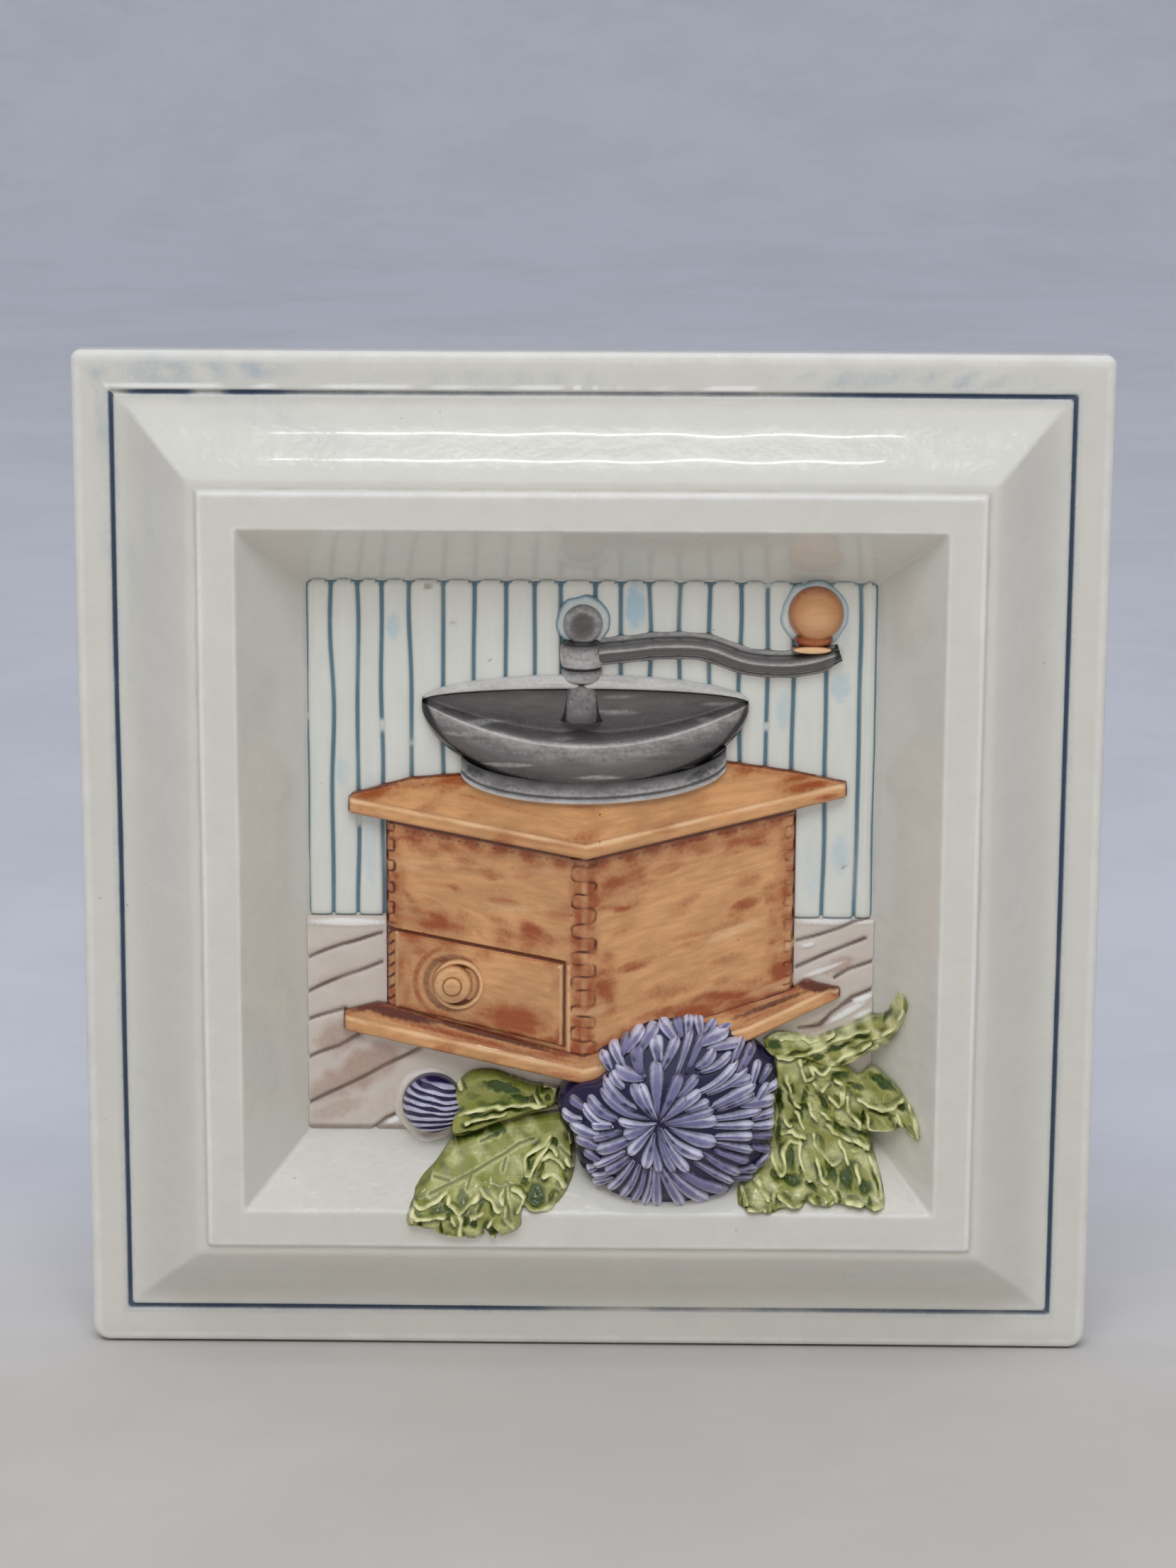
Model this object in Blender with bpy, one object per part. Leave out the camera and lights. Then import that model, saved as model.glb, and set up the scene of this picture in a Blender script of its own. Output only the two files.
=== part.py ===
"""Square wall plaque of glazed earthenware, slip-cast in one piece: a moulded frame round a sunk picture
panel, which carries a still life in relief (a coffee mill, a chrysanthemum, a bud and leaves).

Metres, +Z up. The front faces -Y and the back rests on the plane y = 0, with the origin at its centre.
"""

import math

import bmesh
import bpy
import numpy as np

# Frame. Insets run inwards from the outer edge, and heights run forwards from the back.
SIDE = 0.200
CORNER_RADIUS_TOP = 0.0020
CORNER_RADIUS_BOTTOM = 0.0036
CORNER_RADIUS_INSIDE = 0.0008
CORNER_SEGMENTS = 4
FOOT_CHAMFER = 0.0008
EDGE_ROUND = 0.0016
EDGE_ROUND_SEGMENTS = 3
EDGE_HEIGHT = 0.0079
RIM_WIDTH = 0.0078  # to the middle of the groove
RIM_HEIGHT = 0.0084
GROOVE_WIDTH = 0.0014
GROOVE_DEPTH = 0.0007
COVE_WIDTH = 0.0144
COVE_RISE = 0.0117
COVE_SEGMENTS = 8
LEDGE_WIDTH = 0.0018
LEDGE_RISE = 0.0003
STEP_WIDTH = 0.0010
STEP_RISE = 0.0010
BAND_WIDTH = 0.0066
BAND_ROUND = 0.0007
BEVEL_WIDTH = 0.0119
PANEL_THICKNESS = 0.0047

# Back: a foot all round, a channel behind the raised band, and a notch in the foot for the nail.
WALL = 0.0050
FOOT_WIDTH = 0.0095
CHANNEL_DRAFT = 0.0009
NOTCH_RADIUS = 0.0040
NOTCH_DEPTH = 0.0030

# Relief. Its places are in units of which the picture panel's side has 111.6, measured from the middle
# of the panel, and its lifts are in the same units, measured forwards from the panel.
PANEL_UNITS = 111.6
SINK = 2.1  # how far a relief piece reaches into the clay behind it
ROUND_SEGMENTS = 16

GLAZE_COLOUR = (0.62, 0.60, 0.54, 1.0)
GLAZE_ROUGHNESS = 0.18


def frame_insets():
    """The inset of each edge of the frame's moulding."""
    cove_start = RIM_WIDTH + GROOVE_WIDTH / 2
    cove_end = cove_start + COVE_WIDTH
    band_start = cove_end + LEDGE_WIDTH + STEP_WIDTH
    band_end = band_start + BAND_WIDTH
    return cove_start, cove_end, band_start, band_end, band_end + BEVEL_WIDTH


COVE_START, COVE_END, BAND_START, BAND_END, PANEL_INSET = frame_insets()
COVE_TOP = RIM_HEIGHT + COVE_RISE
BAND_HEIGHT = COVE_TOP + LEDGE_RISE + STEP_RISE
UNIT = (SIDE - 2 * PANEL_INSET) / PANEL_UNITS


def cove_share(t):
    """Share of the cove's rise at share t of its width: hollow at the foot, rounding over at the top."""
    return 0.5 * t**1.7 + 0.5 * t * t * (3 - 2 * t)


def front_profile():
    """(inset, height) from the foot's outer corner over the rim, the cove, the band and the bevel."""
    points = [(FOOT_CHAMFER, 0.0), (0.0, FOOT_CHAMFER)]
    for angle in np.linspace(0, math.pi / 2, EDGE_ROUND_SEGMENTS + 1):
        inset = EDGE_ROUND * (1 - math.cos(angle))
        points.append((inset, EDGE_HEIGHT - EDGE_ROUND * (1 - math.sin(angle))))
    points += [(RIM_WIDTH - GROOVE_WIDTH / 2, RIM_HEIGHT), (RIM_WIDTH, RIM_HEIGHT - GROOVE_DEPTH)]
    for t in np.linspace(0, 1, COVE_SEGMENTS + 1):
        points.append((COVE_START + COVE_WIDTH * t, RIM_HEIGHT + COVE_RISE * cove_share(t)))
    points += [
        (COVE_END + LEDGE_WIDTH, COVE_TOP + LEDGE_RISE),
        (BAND_START, BAND_HEIGHT),
        (BAND_END - BAND_ROUND, BAND_HEIGHT),
        (BAND_END, BAND_HEIGHT - BAND_ROUND),
        (PANEL_INSET, PANEL_THICKNESS),
    ]
    return points


def back_profile():
    """(inset, height) from the foot's inner edge, through the channel, to the flat back of the panel."""
    bevel_slope = (BAND_HEIGHT - PANEL_THICKNESS) / BEVEL_WIDTH
    bevel_offset = WALL * math.hypot(1, bevel_slope) / bevel_slope
    channel_top = BAND_HEIGHT - WALL - STEP_RISE
    panel_edge = PANEL_INSET + PANEL_THICKNESS / bevel_slope - bevel_offset
    return [
        (FOOT_WIDTH, 0.0),
        (FOOT_WIDTH + CHANNEL_DRAFT, RIM_HEIGHT - WALL),
        (COVE_END + LEDGE_WIDTH, channel_top),
        (panel_edge - channel_top / bevel_slope, channel_top),
        (panel_edge, 0.0),
    ]


def ground_height(x, z):
    """Height of the plain frame and panel at (x, z)."""
    insets, heights = np.array(front_profile()[2:]).T
    return np.interp(SIDE / 2 - np.maximum(np.abs(x), np.abs(z)), insets, heights)


def drape_height(x, z):
    """Height of a loose skin over the bevel, bridging its hollow foot as a cast leaf does."""
    insets = [COVE_END, BAND_END, PANEL_INSET - 6 * UNIT, PANEL_INSET, PANEL_INSET + 6 * UNIT]
    heights = [
        BAND_HEIGHT,
        BAND_HEIGHT,
        PANEL_THICKNESS + 9.0 * UNIT,
        PANEL_THICKNESS + 3.8 * UNIT,
        PANEL_THICKNESS + 2.4 * UNIT,
    ]
    return np.interp(SIDE / 2 - np.maximum(np.abs(x), np.abs(z)), insets, heights)


def square_ring(bm, inset, height):
    """Vertices round a square with rounded corners, from the right-hand side by way of the top."""
    half = SIDE / 2 - inset
    ring = []
    for corner in range(4):
        outer = CORNER_RADIUS_TOP if corner < 2 else CORNER_RADIUS_BOTTOM
        radius = max(outer - inset, CORNER_RADIUS_INSIDE)
        towards = math.pi / 4 + corner * math.pi / 2
        centre_x = math.copysign(half - radius, math.cos(towards))
        centre_z = math.copysign(half - radius, math.sin(towards))
        for angle in np.linspace(-math.pi / 4, math.pi / 4, CORNER_SEGMENTS + 1) + towards:
            place = (centre_x + radius * math.cos(angle), -height, centre_z + radius * math.sin(angle))
            ring.append(bm.verts.new(place))
    return ring


def bridge(bm, first, second):
    for i in range(len(first)):
        j = (i + 1) % len(first)
        bm.faces.new((first[i], first[j], second[j], second[i]))


def finish_mesh(bm, name):
    bmesh.ops.triangulate(bm, faces=bm.faces)
    bmesh.ops.recalc_face_normals(bm, faces=bm.faces)
    mesh = bpy.data.meshes.new(name)
    bm.to_mesh(mesh)
    bm.free()
    made = bpy.data.objects.new(name, mesh)
    bpy.context.scene.collection.objects.link(made)
    return made


def frame_solid():
    """The shell of the plaque without its relief."""
    bm = bmesh.new()
    front = [square_ring(bm, *point) for point in front_profile()]
    back = [square_ring(bm, *point) for point in back_profile()]
    for rings in (front, [front[0]] + back):
        for outer, inner in zip(rings, rings[1:]):
            bridge(bm, outer, inner)
        bm.faces.new(rings[-1])
    return finish_mesh(bm, "plaque")


def hide_helper(helper):
    helper.hide_render = True
    helper.display_type = "WIRE"
    return helper


def relief_solid(name, front, faces, border, order):
    """A closed solid: the front skin, its copy sunk into the clay, and a wall along the border between."""
    x, z, height = front.T
    behind = ground_height(x, z) - (SINK + 0.02 * order) * UNIT
    bm = bmesh.new()
    fore = [bm.verts.new((a, -b, c)) for a, b, c in zip(x, height, z)]
    rear = [bm.verts.new((a, -b, c)) for a, b, c in zip(x, behind, z)]
    for face in faces:
        bm.faces.new([fore[i] for i in face])
        bm.faces.new([rear[i] for i in reversed(face)])
    for i, j in zip(border, border[1:] + border[:1]):
        bm.faces.new((fore[j], fore[i], rear[i], rear[j]))
    return hide_helper(finish_mesh(bm, name))


def sheet_solid(name, grid, order):
    """grid holds rows of (x, z, height) points in metres."""
    rows, columns, _ = grid.shape
    index = np.arange(rows * columns).reshape(rows, columns)
    faces = [
        (index[r, c], index[r, c + 1], index[r + 1, c + 1], index[r + 1, c])
        for r in range(rows - 1)
        for c in range(columns - 1)
    ]
    border = [*index[0, :-1], *index[:-1, -1], *index[-1, :0:-1], *index[:0:-1, 0]]
    return relief_solid(name, grid.reshape(-1, 3), faces, border, order)


def dome_solid(name, rings, centre, order):
    """rings hold closed rings of (x, z, height) points in metres, outermost first, round a centre point."""
    count, around, _ = rings.shape
    index = np.arange(count * around).reshape(count, around)
    faces = []
    for k in range(around):
        n = (k + 1) % around
        for r in range(count - 1):
            faces.append((index[r, k], index[r, n], index[r + 1, n], index[r + 1, k]))
        faces.append((index[-1, k], index[-1, n], count * around))
    front = np.vstack([rings.reshape(-1, 3), centre])
    return relief_solid(name, front, faces, list(index[0]), order)


def on_panel(x, z, lift):
    """Points in metres from relief places and lifts above the panel."""
    x, z, lift = np.broadcast_arrays(x, z, lift)
    return np.stack([x * UNIT, z * UNIT, PANEL_THICKNESS + lift * UNIT], axis=-1)


def on_drape(x, z, lift):
    """Points in metres whose lifts are measured above the loose skin over the bevel."""
    x, z, lift = np.broadcast_arrays(x, z, lift)
    return np.stack([x * UNIT, z * UNIT, drape_height(x * UNIT, z * UNIT) + lift * UNIT], axis=-1)


def bend(x, places):
    """A line through (x, value) places."""
    along, values = zip(*places)
    return np.interp(x, along, values)


def smooth_line(points, count):
    """A Catmull-Rom curve through the points, as count points."""
    points = np.array(points, float)
    ends = [2 * points[0] - points[1], *points, 2 * points[-1] - points[-2]]
    knots = np.array(ends)
    share = np.linspace(0, len(points) - 1, count)
    k = np.minimum(share.astype(int), len(points) - 2)
    t = (share - k)[:, None]
    a, b, c, d = (knots[k + i] for i in range(4))
    return 0.5 * (2 * b + (c - a) * t + (2 * a - 5 * b + 4 * c - d) * t**2 + (3 * b - a - 3 * c + d) * t**3)


def round_boss(name, x, z, radius_x, radius_z, steps, top, order):
    """An oval boss. Each step is (share of the radius, lift), and top is the lift at the middle."""
    angle = np.linspace(0, 2 * math.pi, ROUND_SEGMENTS, endpoint=False)
    rings = np.array([
        on_panel(x + share * radius_x * np.cos(angle), z + share * radius_z * np.sin(angle), lift)
        for share, lift in steps
    ])
    return dome_solid(name, rings, on_panel(x, z, top), order)


# The mill's case: its left and right sides meet at the front edge, which stands out furthest.
CASE_LIFTS = ((-40.2, 1.8), (-38.4, 2.4), (-3.6, 5.6), (-1.1, 6.0), (1.4, 5.6), (38.3, 2.4), (40.2, 1.8))
CASE_TOP = ((-40.2, 9.0), (-1.1, 3.0), (40.2, 12.0))
CASE_FOOT = ((-40.2, -29.3), (-1.1, -40.0), (40.2, -25.6))


def mill_case(order):
    x = np.array([place for place, _ in CASE_LIFTS])
    lift = np.array([lift for _, lift in CASE_LIFTS])
    rows = [on_panel(x, bend(x, edge), lift) for edge in (CASE_FOOT, CASE_TOP)]
    return sheet_solid("mill_case", np.array(rows), order)


def mill_drawer(order):
    """The drawer's front stands proud of the case's left side, with softened edges."""
    left, right, soft_x, soft_z, proud = -38.4, -5.2, 0.9, 0.8, 0.9
    top = ((left, -14.2), (right, -20.0))
    foot = ((left, -29.6), (right, -36.7))
    x = np.array([left, left + soft_x, right - soft_x, right])
    rows = []
    for edge, inwards, face in ((foot, 0, 0), (foot, soft_z, 1), (top, -soft_z, 1), (top, 0, 0)):
        lift = bend(x, CASE_LIFTS) + 0.1
        lift[1:-1] += face * proud
        rows.append(on_panel(x, bend(x, edge) + inwards, lift))
    return sheet_solid("mill_drawer", np.array(rows), order)


def board(name, x, lower, back, front_lift, back_lift, order):
    """A board seen from above its front corner: a rounded nosing along its front edge, then its top."""
    nosing = ((0.0, -1.1), (1.2, 0.0), (2.7, -0.3), (3.3, -0.9))
    front_z, lift = bend(x, lower), bend(x, front_lift)
    rows = [on_panel(x, front_z + up, lift + drop) for up, drop in nosing]
    back_z = np.maximum(bend(x, back), front_z + nosing[-1][0] + 0.3)
    rows.append(on_panel(x, back_z, bend(x, back_lift)))
    return sheet_solid(name, np.array(rows), order)


def mill_top_board(order):
    return board(
        "mill_top_board",
        np.array([-47.5, -40, -30, -20, -10, -0.8, 10, 20, 30, 40, 50]),
        lower=((-47.5, 9.6), (-0.8, 1.5), (50, 13.3)),
        back=((-47.5, 13.2), (-35, 16.6), (-26, 17.4), (26, 20.3), (40, 18.3), (50, 16.3)),
        front_lift=((-47.5, 3.2), (-0.8, 7.9), (50, 3.0)),
        back_lift=((-47.5, 2.2), (50, 2.0)),
        order=order,
    )


def mill_base_board(order):
    return board(
        "mill_base_board",
        np.array([-48.8, -40, -30, -20, -10, -1.2, 10, 20, 31, 40, 49.5]),
        lower=((-48.8, -34.7), (-1.2, -44.1), (31, -36.1), (49.5, -28.2)),
        back=((-48.8, -30.7), (-42, -29.2), (-1.2, -38.5), (40, -25.4), (49.5, -24.6)),
        front_lift=((-48.8, 2.6), (-1.2, 7.7), (49.5, 2.6)),
        back_lift=((-48.8, 1.8), (-42, 2.3), (-1.2, 6.6), (40, 2.4), (49.5, 1.8)),
        order=order,
    )


BOWL_MIDDLE, BOWL_HALF_WIDTH, BOWL_RIM_Z = -1.2, 32.0, 31.8


def bowl_columns(count):
    """Places across the bowl with their share w, which falls to nought at its two tips."""
    t = np.sin(np.radians(np.linspace(-80, 80, count)))
    return BOWL_MIDDLE + BOWL_HALF_WIDTH * t, np.sqrt(1 - t * t)


def mill_bowl(order):
    """The open hopper: belly, near rim, hollow inside and far rim, drawn together at its two tips."""
    x, w = bowl_columns(13)
    foot = BOWL_RIM_Z - 16.8 * w
    near_rim = BOWL_RIM_Z - 8.0 * w * w
    far_inside = BOWL_RIM_Z + 2.8 * w
    rows = [
        (foot, 0.9 + 3.2 * w * w),
        (foot + 0.25 * (near_rim - foot), 1.2 + 4.4 * w),
        (foot + 0.65 * (near_rim - foot), 1.4 + 5.0 * w),
        (near_rim, 1.6 + 5.2 * w),
        (near_rim + 1.1 * w, 1.5 + 4.9 * w),
        (near_rim + 2.0 * w, 1.0 + 1.6 * w),
        (far_inside - 0.6 * w, 0.7 + 0.9 * w),
        (far_inside + 0.2 * w, 1.5 + 1.4 * w),
        (BOWL_RIM_Z + 5.3 * w, 1.3 + 1.2 * w),
    ]
    return sheet_solid("mill_bowl", np.array([on_panel(x, z, lift) for z, lift in rows]), order)


def mill_flange(order):
    """The hopper's foot flange, lying on the top board."""
    t = np.sin(np.radians(np.linspace(-80, 80, 11)))
    w = np.sqrt(1 - t * t)
    x = 0.5 + 26 * t
    edge = 18.7 + 0.03 * x - 6.6 * w
    rows = [(0.0, 2.6), (0.8, 3.1), (2.4, 2.9), (4.5, 2.6)]
    return sheet_solid(
        "mill_flange", np.array([on_panel(x, edge + up, lift + 2.6 * w) for up, lift in rows]), order
    )


def mill_column(order):
    """The turned post in the hopper, its collar and the crank's hub, as half-round steps up one axis."""
    axis, base = -1.9, 0.9
    turned = (
        (28.9, 3.9), (30.5, 3.5), (33.5, 3.0), (36.0, 2.9), (36.3, 3.9),
        (38.8, 4.1), (39.1, 3.6), (39.4, 4.1), (43.6, 4.2), (43.9, 3.4),
    )
    angle = np.linspace(-math.pi / 2, math.pi / 2, 7)
    rows = [
        on_panel(axis + radius * np.sin(angle), z, base + 0.8 * radius * np.cos(angle))
        for z, radius in turned
    ]
    return sheet_solid("mill_column", np.array(rows), order)


def crank_arm(order):
    """The S-bent crank: a rounded bar on a lower border, along its middle line."""
    middle = smooth_line(((1.5, 41.6), (14, 42.9), (22, 42.6), (30, 40.0), (37, 39.4), (48, 41.6)), 16)
    way = np.gradient(middle, axis=0)
    side = np.stack([-way[:, 1], way[:, 0]], axis=1) / np.linalg.norm(way, axis=1)[:, None]
    across = ((-2.9, 0.2), (-2.1, 1.3), (-1.2, 3.1), (0.8, 3.5), (2.0, 2.4), (2.9, 0.2))
    rows = []
    for out, lift in across:
        place = middle + out * side
        rows.append(on_panel(place[:, 0], place[:, 1], lift))
    return sheet_solid("crank_arm", np.array(rows), order)


def mill_knobs():
    """The oval bosses: the nut on the post, the crank's wooden knob with its base, the drawer's knob."""
    return [
        ("nut_border", -1.7, 47.4, 5.0, 5.0, ((1, 0.2), (0.9, 1.2)), 1.5),
        ("nut", -1.7, 47.2, 3.8, 3.8, ((1, 0.6), (0.9, 2.4), (0.55, 3.7)), 4.1),
        ("crank_knob", 43.4, 49.5, 5.7, 5.7, ((1, 0.3), (0.92, 2.4), (0.66, 4.1), (0.35, 4.8)), 5.0),
        ("crank_knob_base", 42.8, 42.9, 4.7, 1.7, ((1, 0.4), (0.85, 3.6)), 4.3),
        ("drawer_knob_plate", -25.7, -24.4, 5.2, 5.2, ((1, 4.0), (0.92, 5.0)), 5.4),
        ("drawer_knob", -27.0, -24.2, 3.9, 3.9, ((1, 4.6), (0.9, 6.4), (0.5, 7.6)), 8.0),
    ]


# The chrysanthemum: rows of petals on a dome, tilted because it lies half over the bevel.
FLOWER_X, FLOWER_Z = 15.4, -47.9
FLOWER_HEART_X, FLOWER_HEART_Z = 13.6, -48.6
FLOWER_HALF_WIDTH, FLOWER_HALF_HEIGHT = 21.6, 18.8
PETAL_ROWS = ((26, 1.0, 0.0), (20, 0.72, 0.7), (13, 0.43, 1.4))  # petals, reach, lift
PETAL_TIP = ((0.89, 0.0), (0.96, 0.6), (1.0, 1.0), (0.96, 0.6))  # reach and ridge over one petal


def flower_lift(share, z):
    """Lift of the flower's dome, from its rim at share 1 to its heart at share 0."""
    rim = 10.3 - (z - FLOWER_Z) * 0.31
    return rim + 6.4 * (1 - share**2) - 2.0 * share**6


def petal_row(order, petals, reach, lift):
    turn = np.arange(petals * len(PETAL_TIP)) / (petals * len(PETAL_TIP))
    angle = 2 * math.pi * turn
    tip = np.tile([share for share, _ in PETAL_TIP], petals)
    ridge = np.tile([high for _, high in PETAL_TIP], petals)
    rings = []
    for share, drop in ((1.0, -1.3), (0.9, 0.0), (0.6, 0.1), (0.25, 0.0)):
        out = share * reach * tip
        x = FLOWER_X + FLOWER_HALF_WIDTH * out * np.cos(angle)
        z = FLOWER_Z + FLOWER_HALF_HEIGHT * out * np.sin(angle)
        x += (FLOWER_HEART_X - FLOWER_X) * (1 - out)
        z += (FLOWER_HEART_Z - FLOWER_Z) * (1 - out)
        height = flower_lift(out, z) + lift + drop + 0.9 * ridge * share
        rings.append(on_panel(x, z, height))
    heart = on_panel(FLOWER_HEART_X, FLOWER_HEART_Z, flower_lift(0.0, FLOWER_HEART_Z) + lift)
    return dome_solid(f"petal_row_{petals}", np.array(rings), heart, order)


def leaf(name, upper, lower, lift, order):
    """A leaf between two edges of as many points: it swells from both edges, with a crease down its middle."""
    upper, lower = np.array(upper, float), np.array(lower, float)
    rows = []
    for share, swell in ((0, 0.2), (0.14, 0.8), (0.4, 1.0), (0.5, 0.72), (0.6, 1.0), (0.86, 0.8), (1, 0.2)):
        place = lower + (upper - lower) * share
        rows.append(on_drape(place[:, 0], place[:, 1], lift * swell))
    return sheet_solid(name, np.array(rows), order)


LEAVES = {
    "left_leaf": (
        ((-7, -50.4), (-16, -52.6), (-26, -55.7), (-28.5, -58.2), (-32, -62), (-35, -65.7), (-36, -69.7)),
        ((-3.4, -56.5), (-4.2, -63.5), (-10, -67.8), (-15, -72.2), (-20, -72.0), (-28, -72.4), (-35, -70.6)),
        1.8,
    ),
    "left_curled_leaf": (
        ((-7.6, -54.6), (-10.2, -57.4), (-12.5, -59.6), (-13, -63.0), (-12.4, -67.0)),
        ((-5.6, -55.8), (-3.2, -58.4), (-3.2, -61.4), (-4.8, -64.6), (-9.6, -67.9)),
        2.8,
    ),
    "bud_leaf": (
        ((-25.3, -43.6), (-20, -44.0), (-14, -45.8), (-6.5, -48.0)),
        ((-26.2, -54.2), (-20, -53.6), (-14, -52.6), (-6.5, -51.4)),
        3.4,
    ),
    "right_leaf": (
        ((37, -38.5), (44, -40.0), (50, -41.2), (53, -43.6), (56.5, -41.4), (60, -43.6), (62.4, -47.0), (64.2, -51.5)),
        ((37, -46.0), (42, -50.0), (47, -52.0), (52, -53.4), (56.5, -52.6), (60, -52.4), (62, -53.0), (63.8, -53.6)),
        2.2,
    ),
    "right_low_leaf": (
        ((46, -47.0), (51, -52.6), (55.3, -55.4), (57.2, -59.6), (58.2, -63.6), (58.0, -66.8)),
        ((36.5, -47.0), (38, -55.5), (42, -61.5), (46.5, -66.2), (51.5, -65.6), (56.6, -67.2)),
        2.2,
    ),
    "right_inner_leaf": (
        ((40, -46.0), (42, -56.0), (43, -61.8), (41.5, -65.8), (37.0, -67.6)),
        ((34, -46.0), (33, -56.0), (30.4, -61.6), (30.2, -65.0), (31.2, -66.8)),
        1.8,
    ),
}


def stem(order):
    """The stem that runs up from the right-hand leaves over the bevel."""
    middle = smooth_line(((35.0, -36.2), (43, -36.8), (50, -35.2), (56, -31.2), (61.2, -25.6)), 12)
    way = np.gradient(middle, axis=0)
    side = np.stack([-way[:, 1], way[:, 0]], axis=1) / np.linalg.norm(way, axis=1)[:, None]
    width = np.linspace(2.4, 1.3, len(middle))
    rows = []
    for out, lift in ((-1, 0.1), (-0.6, 1.5), (0.3, 2.0), (0.8, 1.3), (1, 0.1)):
        place = middle + (out * width)[:, None] * side
        rows.append(on_drape(place[:, 0], place[:, 1], lift))
    return sheet_solid("stem", np.array(rows), order)


def relief_pieces():
    """Every helper solid of the relief, from the panel forwards."""
    makers = [
        mill_case, mill_drawer, mill_base_board, mill_top_board,
        mill_flange, mill_bowl, mill_column, crank_arm, stem,
    ]
    pieces = [make(order) for order, make in enumerate(makers)]
    bosses = mill_knobs() + [
        ("bud_border", -31.8, -47.5, 8.6, 7.6, ((1, 0.2), (0.88, 1.7)), 2.4),
        ("bud", -31.0, -47.5, 6.2, 6.3, ((1, 1.6), (0.9, 4.4), (0.66, 6.4), (0.35, 7.4)), 7.7),
    ]
    for boss in bosses:
        pieces.append(round_boss(*boss, order=len(pieces)))
    for name, (upper, lower, lift) in LEAVES.items():
        pieces.append(leaf(name, upper, lower, lift, order=len(pieces)))
    for petals, reach, lift in PETAL_ROWS:
        pieces.append(petal_row(len(pieces), petals, reach, lift))
    return pieces


def nail_notch():
    """The cutter for the half-round notch in the foot's inner edge, at the middle of the top."""
    bm = bmesh.new()
    bmesh.ops.create_cone(
        bm, cap_ends=True, segments=ROUND_SEGMENTS, radius1=NOTCH_RADIUS, radius2=NOTCH_RADIUS,
        depth=2 * NOTCH_DEPTH,
    )
    cutter = finish_mesh(bm, "nail_notch")
    cutter.rotation_euler = (math.pi / 2, 0, 0)
    cutter.location = (0, 0, SIDE / 2 - FOOT_WIDTH)
    return hide_helper(cutter)


def combine(body, helper, operation):
    modifier = body.modifiers.new(helper.name, "BOOLEAN")
    modifier.operation = operation
    modifier.solver = "MANIFOLD"
    modifier.object = helper


def glaze():
    material = bpy.data.materials.new("cream_glaze")
    material.use_nodes = True
    shader = material.node_tree.nodes["Principled BSDF"]
    shader.inputs["Base Color"].default_value = GLAZE_COLOUR
    shader.inputs["Roughness"].default_value = GLAZE_ROUGHNESS
    shader.inputs["Metallic"].default_value = 0.0
    return material


def main():
    for old in list(bpy.data.objects):
        bpy.data.objects.remove(old, do_unlink=True)
    plaque = frame_solid()
    plaque.data.materials.append(glaze())
    combine(plaque, nail_notch(), "DIFFERENCE")
    for piece in relief_pieces():
        combine(plaque, piece, "UNION")
    plaque.data.shade_smooth()
    plaque.data.set_sharp_from_angle(angle=math.radians(30))


main()
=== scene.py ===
"""Glazed wall plaque with a still life in relief: the looks of every surface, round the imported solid.

Relief places are in millimetres on the plaque: x to the right, z up from its middle, and h forwards
from the plane of its back. A mesh puts such a point at (x, -h, z), in metres.
"""

import math

import bpy
import numpy as np
from bpy.props import FloatProperty, FloatVectorProperty, PointerProperty
from mathutils import Matrix, Vector


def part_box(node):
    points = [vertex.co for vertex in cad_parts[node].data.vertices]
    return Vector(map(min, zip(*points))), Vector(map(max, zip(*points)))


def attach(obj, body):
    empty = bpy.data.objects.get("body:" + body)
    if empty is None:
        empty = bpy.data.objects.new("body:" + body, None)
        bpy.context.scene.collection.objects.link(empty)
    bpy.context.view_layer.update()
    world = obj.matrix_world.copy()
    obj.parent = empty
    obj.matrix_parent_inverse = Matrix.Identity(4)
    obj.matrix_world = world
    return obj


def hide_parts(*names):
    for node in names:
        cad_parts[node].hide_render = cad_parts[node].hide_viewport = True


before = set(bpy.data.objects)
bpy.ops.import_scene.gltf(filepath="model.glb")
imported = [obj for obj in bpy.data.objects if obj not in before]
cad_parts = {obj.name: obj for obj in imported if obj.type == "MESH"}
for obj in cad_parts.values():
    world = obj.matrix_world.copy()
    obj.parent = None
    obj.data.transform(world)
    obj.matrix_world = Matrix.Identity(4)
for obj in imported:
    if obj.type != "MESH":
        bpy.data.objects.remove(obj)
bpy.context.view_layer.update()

bl_info = {
    "name": "Still Life Plaque",
    "version": (1, 0, 0),
    "blender": (4, 5, 0),
    "location": "3D View > Sidebar > Plaque",
    "description": "Builds a glazed wall plaque with a still life in relief",
    "category": "Add Mesh",
}

MM = 0.001
LOW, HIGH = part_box("plaque")
IMAGE_LONG_SIDE = 2212
SINK = 1.6  # how far a relief piece reaches into the clay behind it
GLAZE_GAIN = 1.25  # how much lighter a glaze is than its tone in the photograph's light


def tone(red, green, blue):
    """The linear colour of a glaze whose tone in the photograph is this, out of 255."""
    share = np.array((red, green, blue)) / 255
    linear = np.where(share <= 0.04045, share / 12.92, ((share + 0.055) / 1.055) ** 2.4)
    return tuple(np.minimum(linear * GLAZE_GAIN, 0.9).tolist())


def length(name, value, about):
    return FloatProperty(name=name, description=about, default=value * MM, unit="LENGTH", precision=5)


def colour(name, red, green, blue, about):
    return FloatVectorProperty(
        name=name, description=about, default=tone(red, green, blue), size=3, min=0, max=1, subtype="COLOR"
    )


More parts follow.
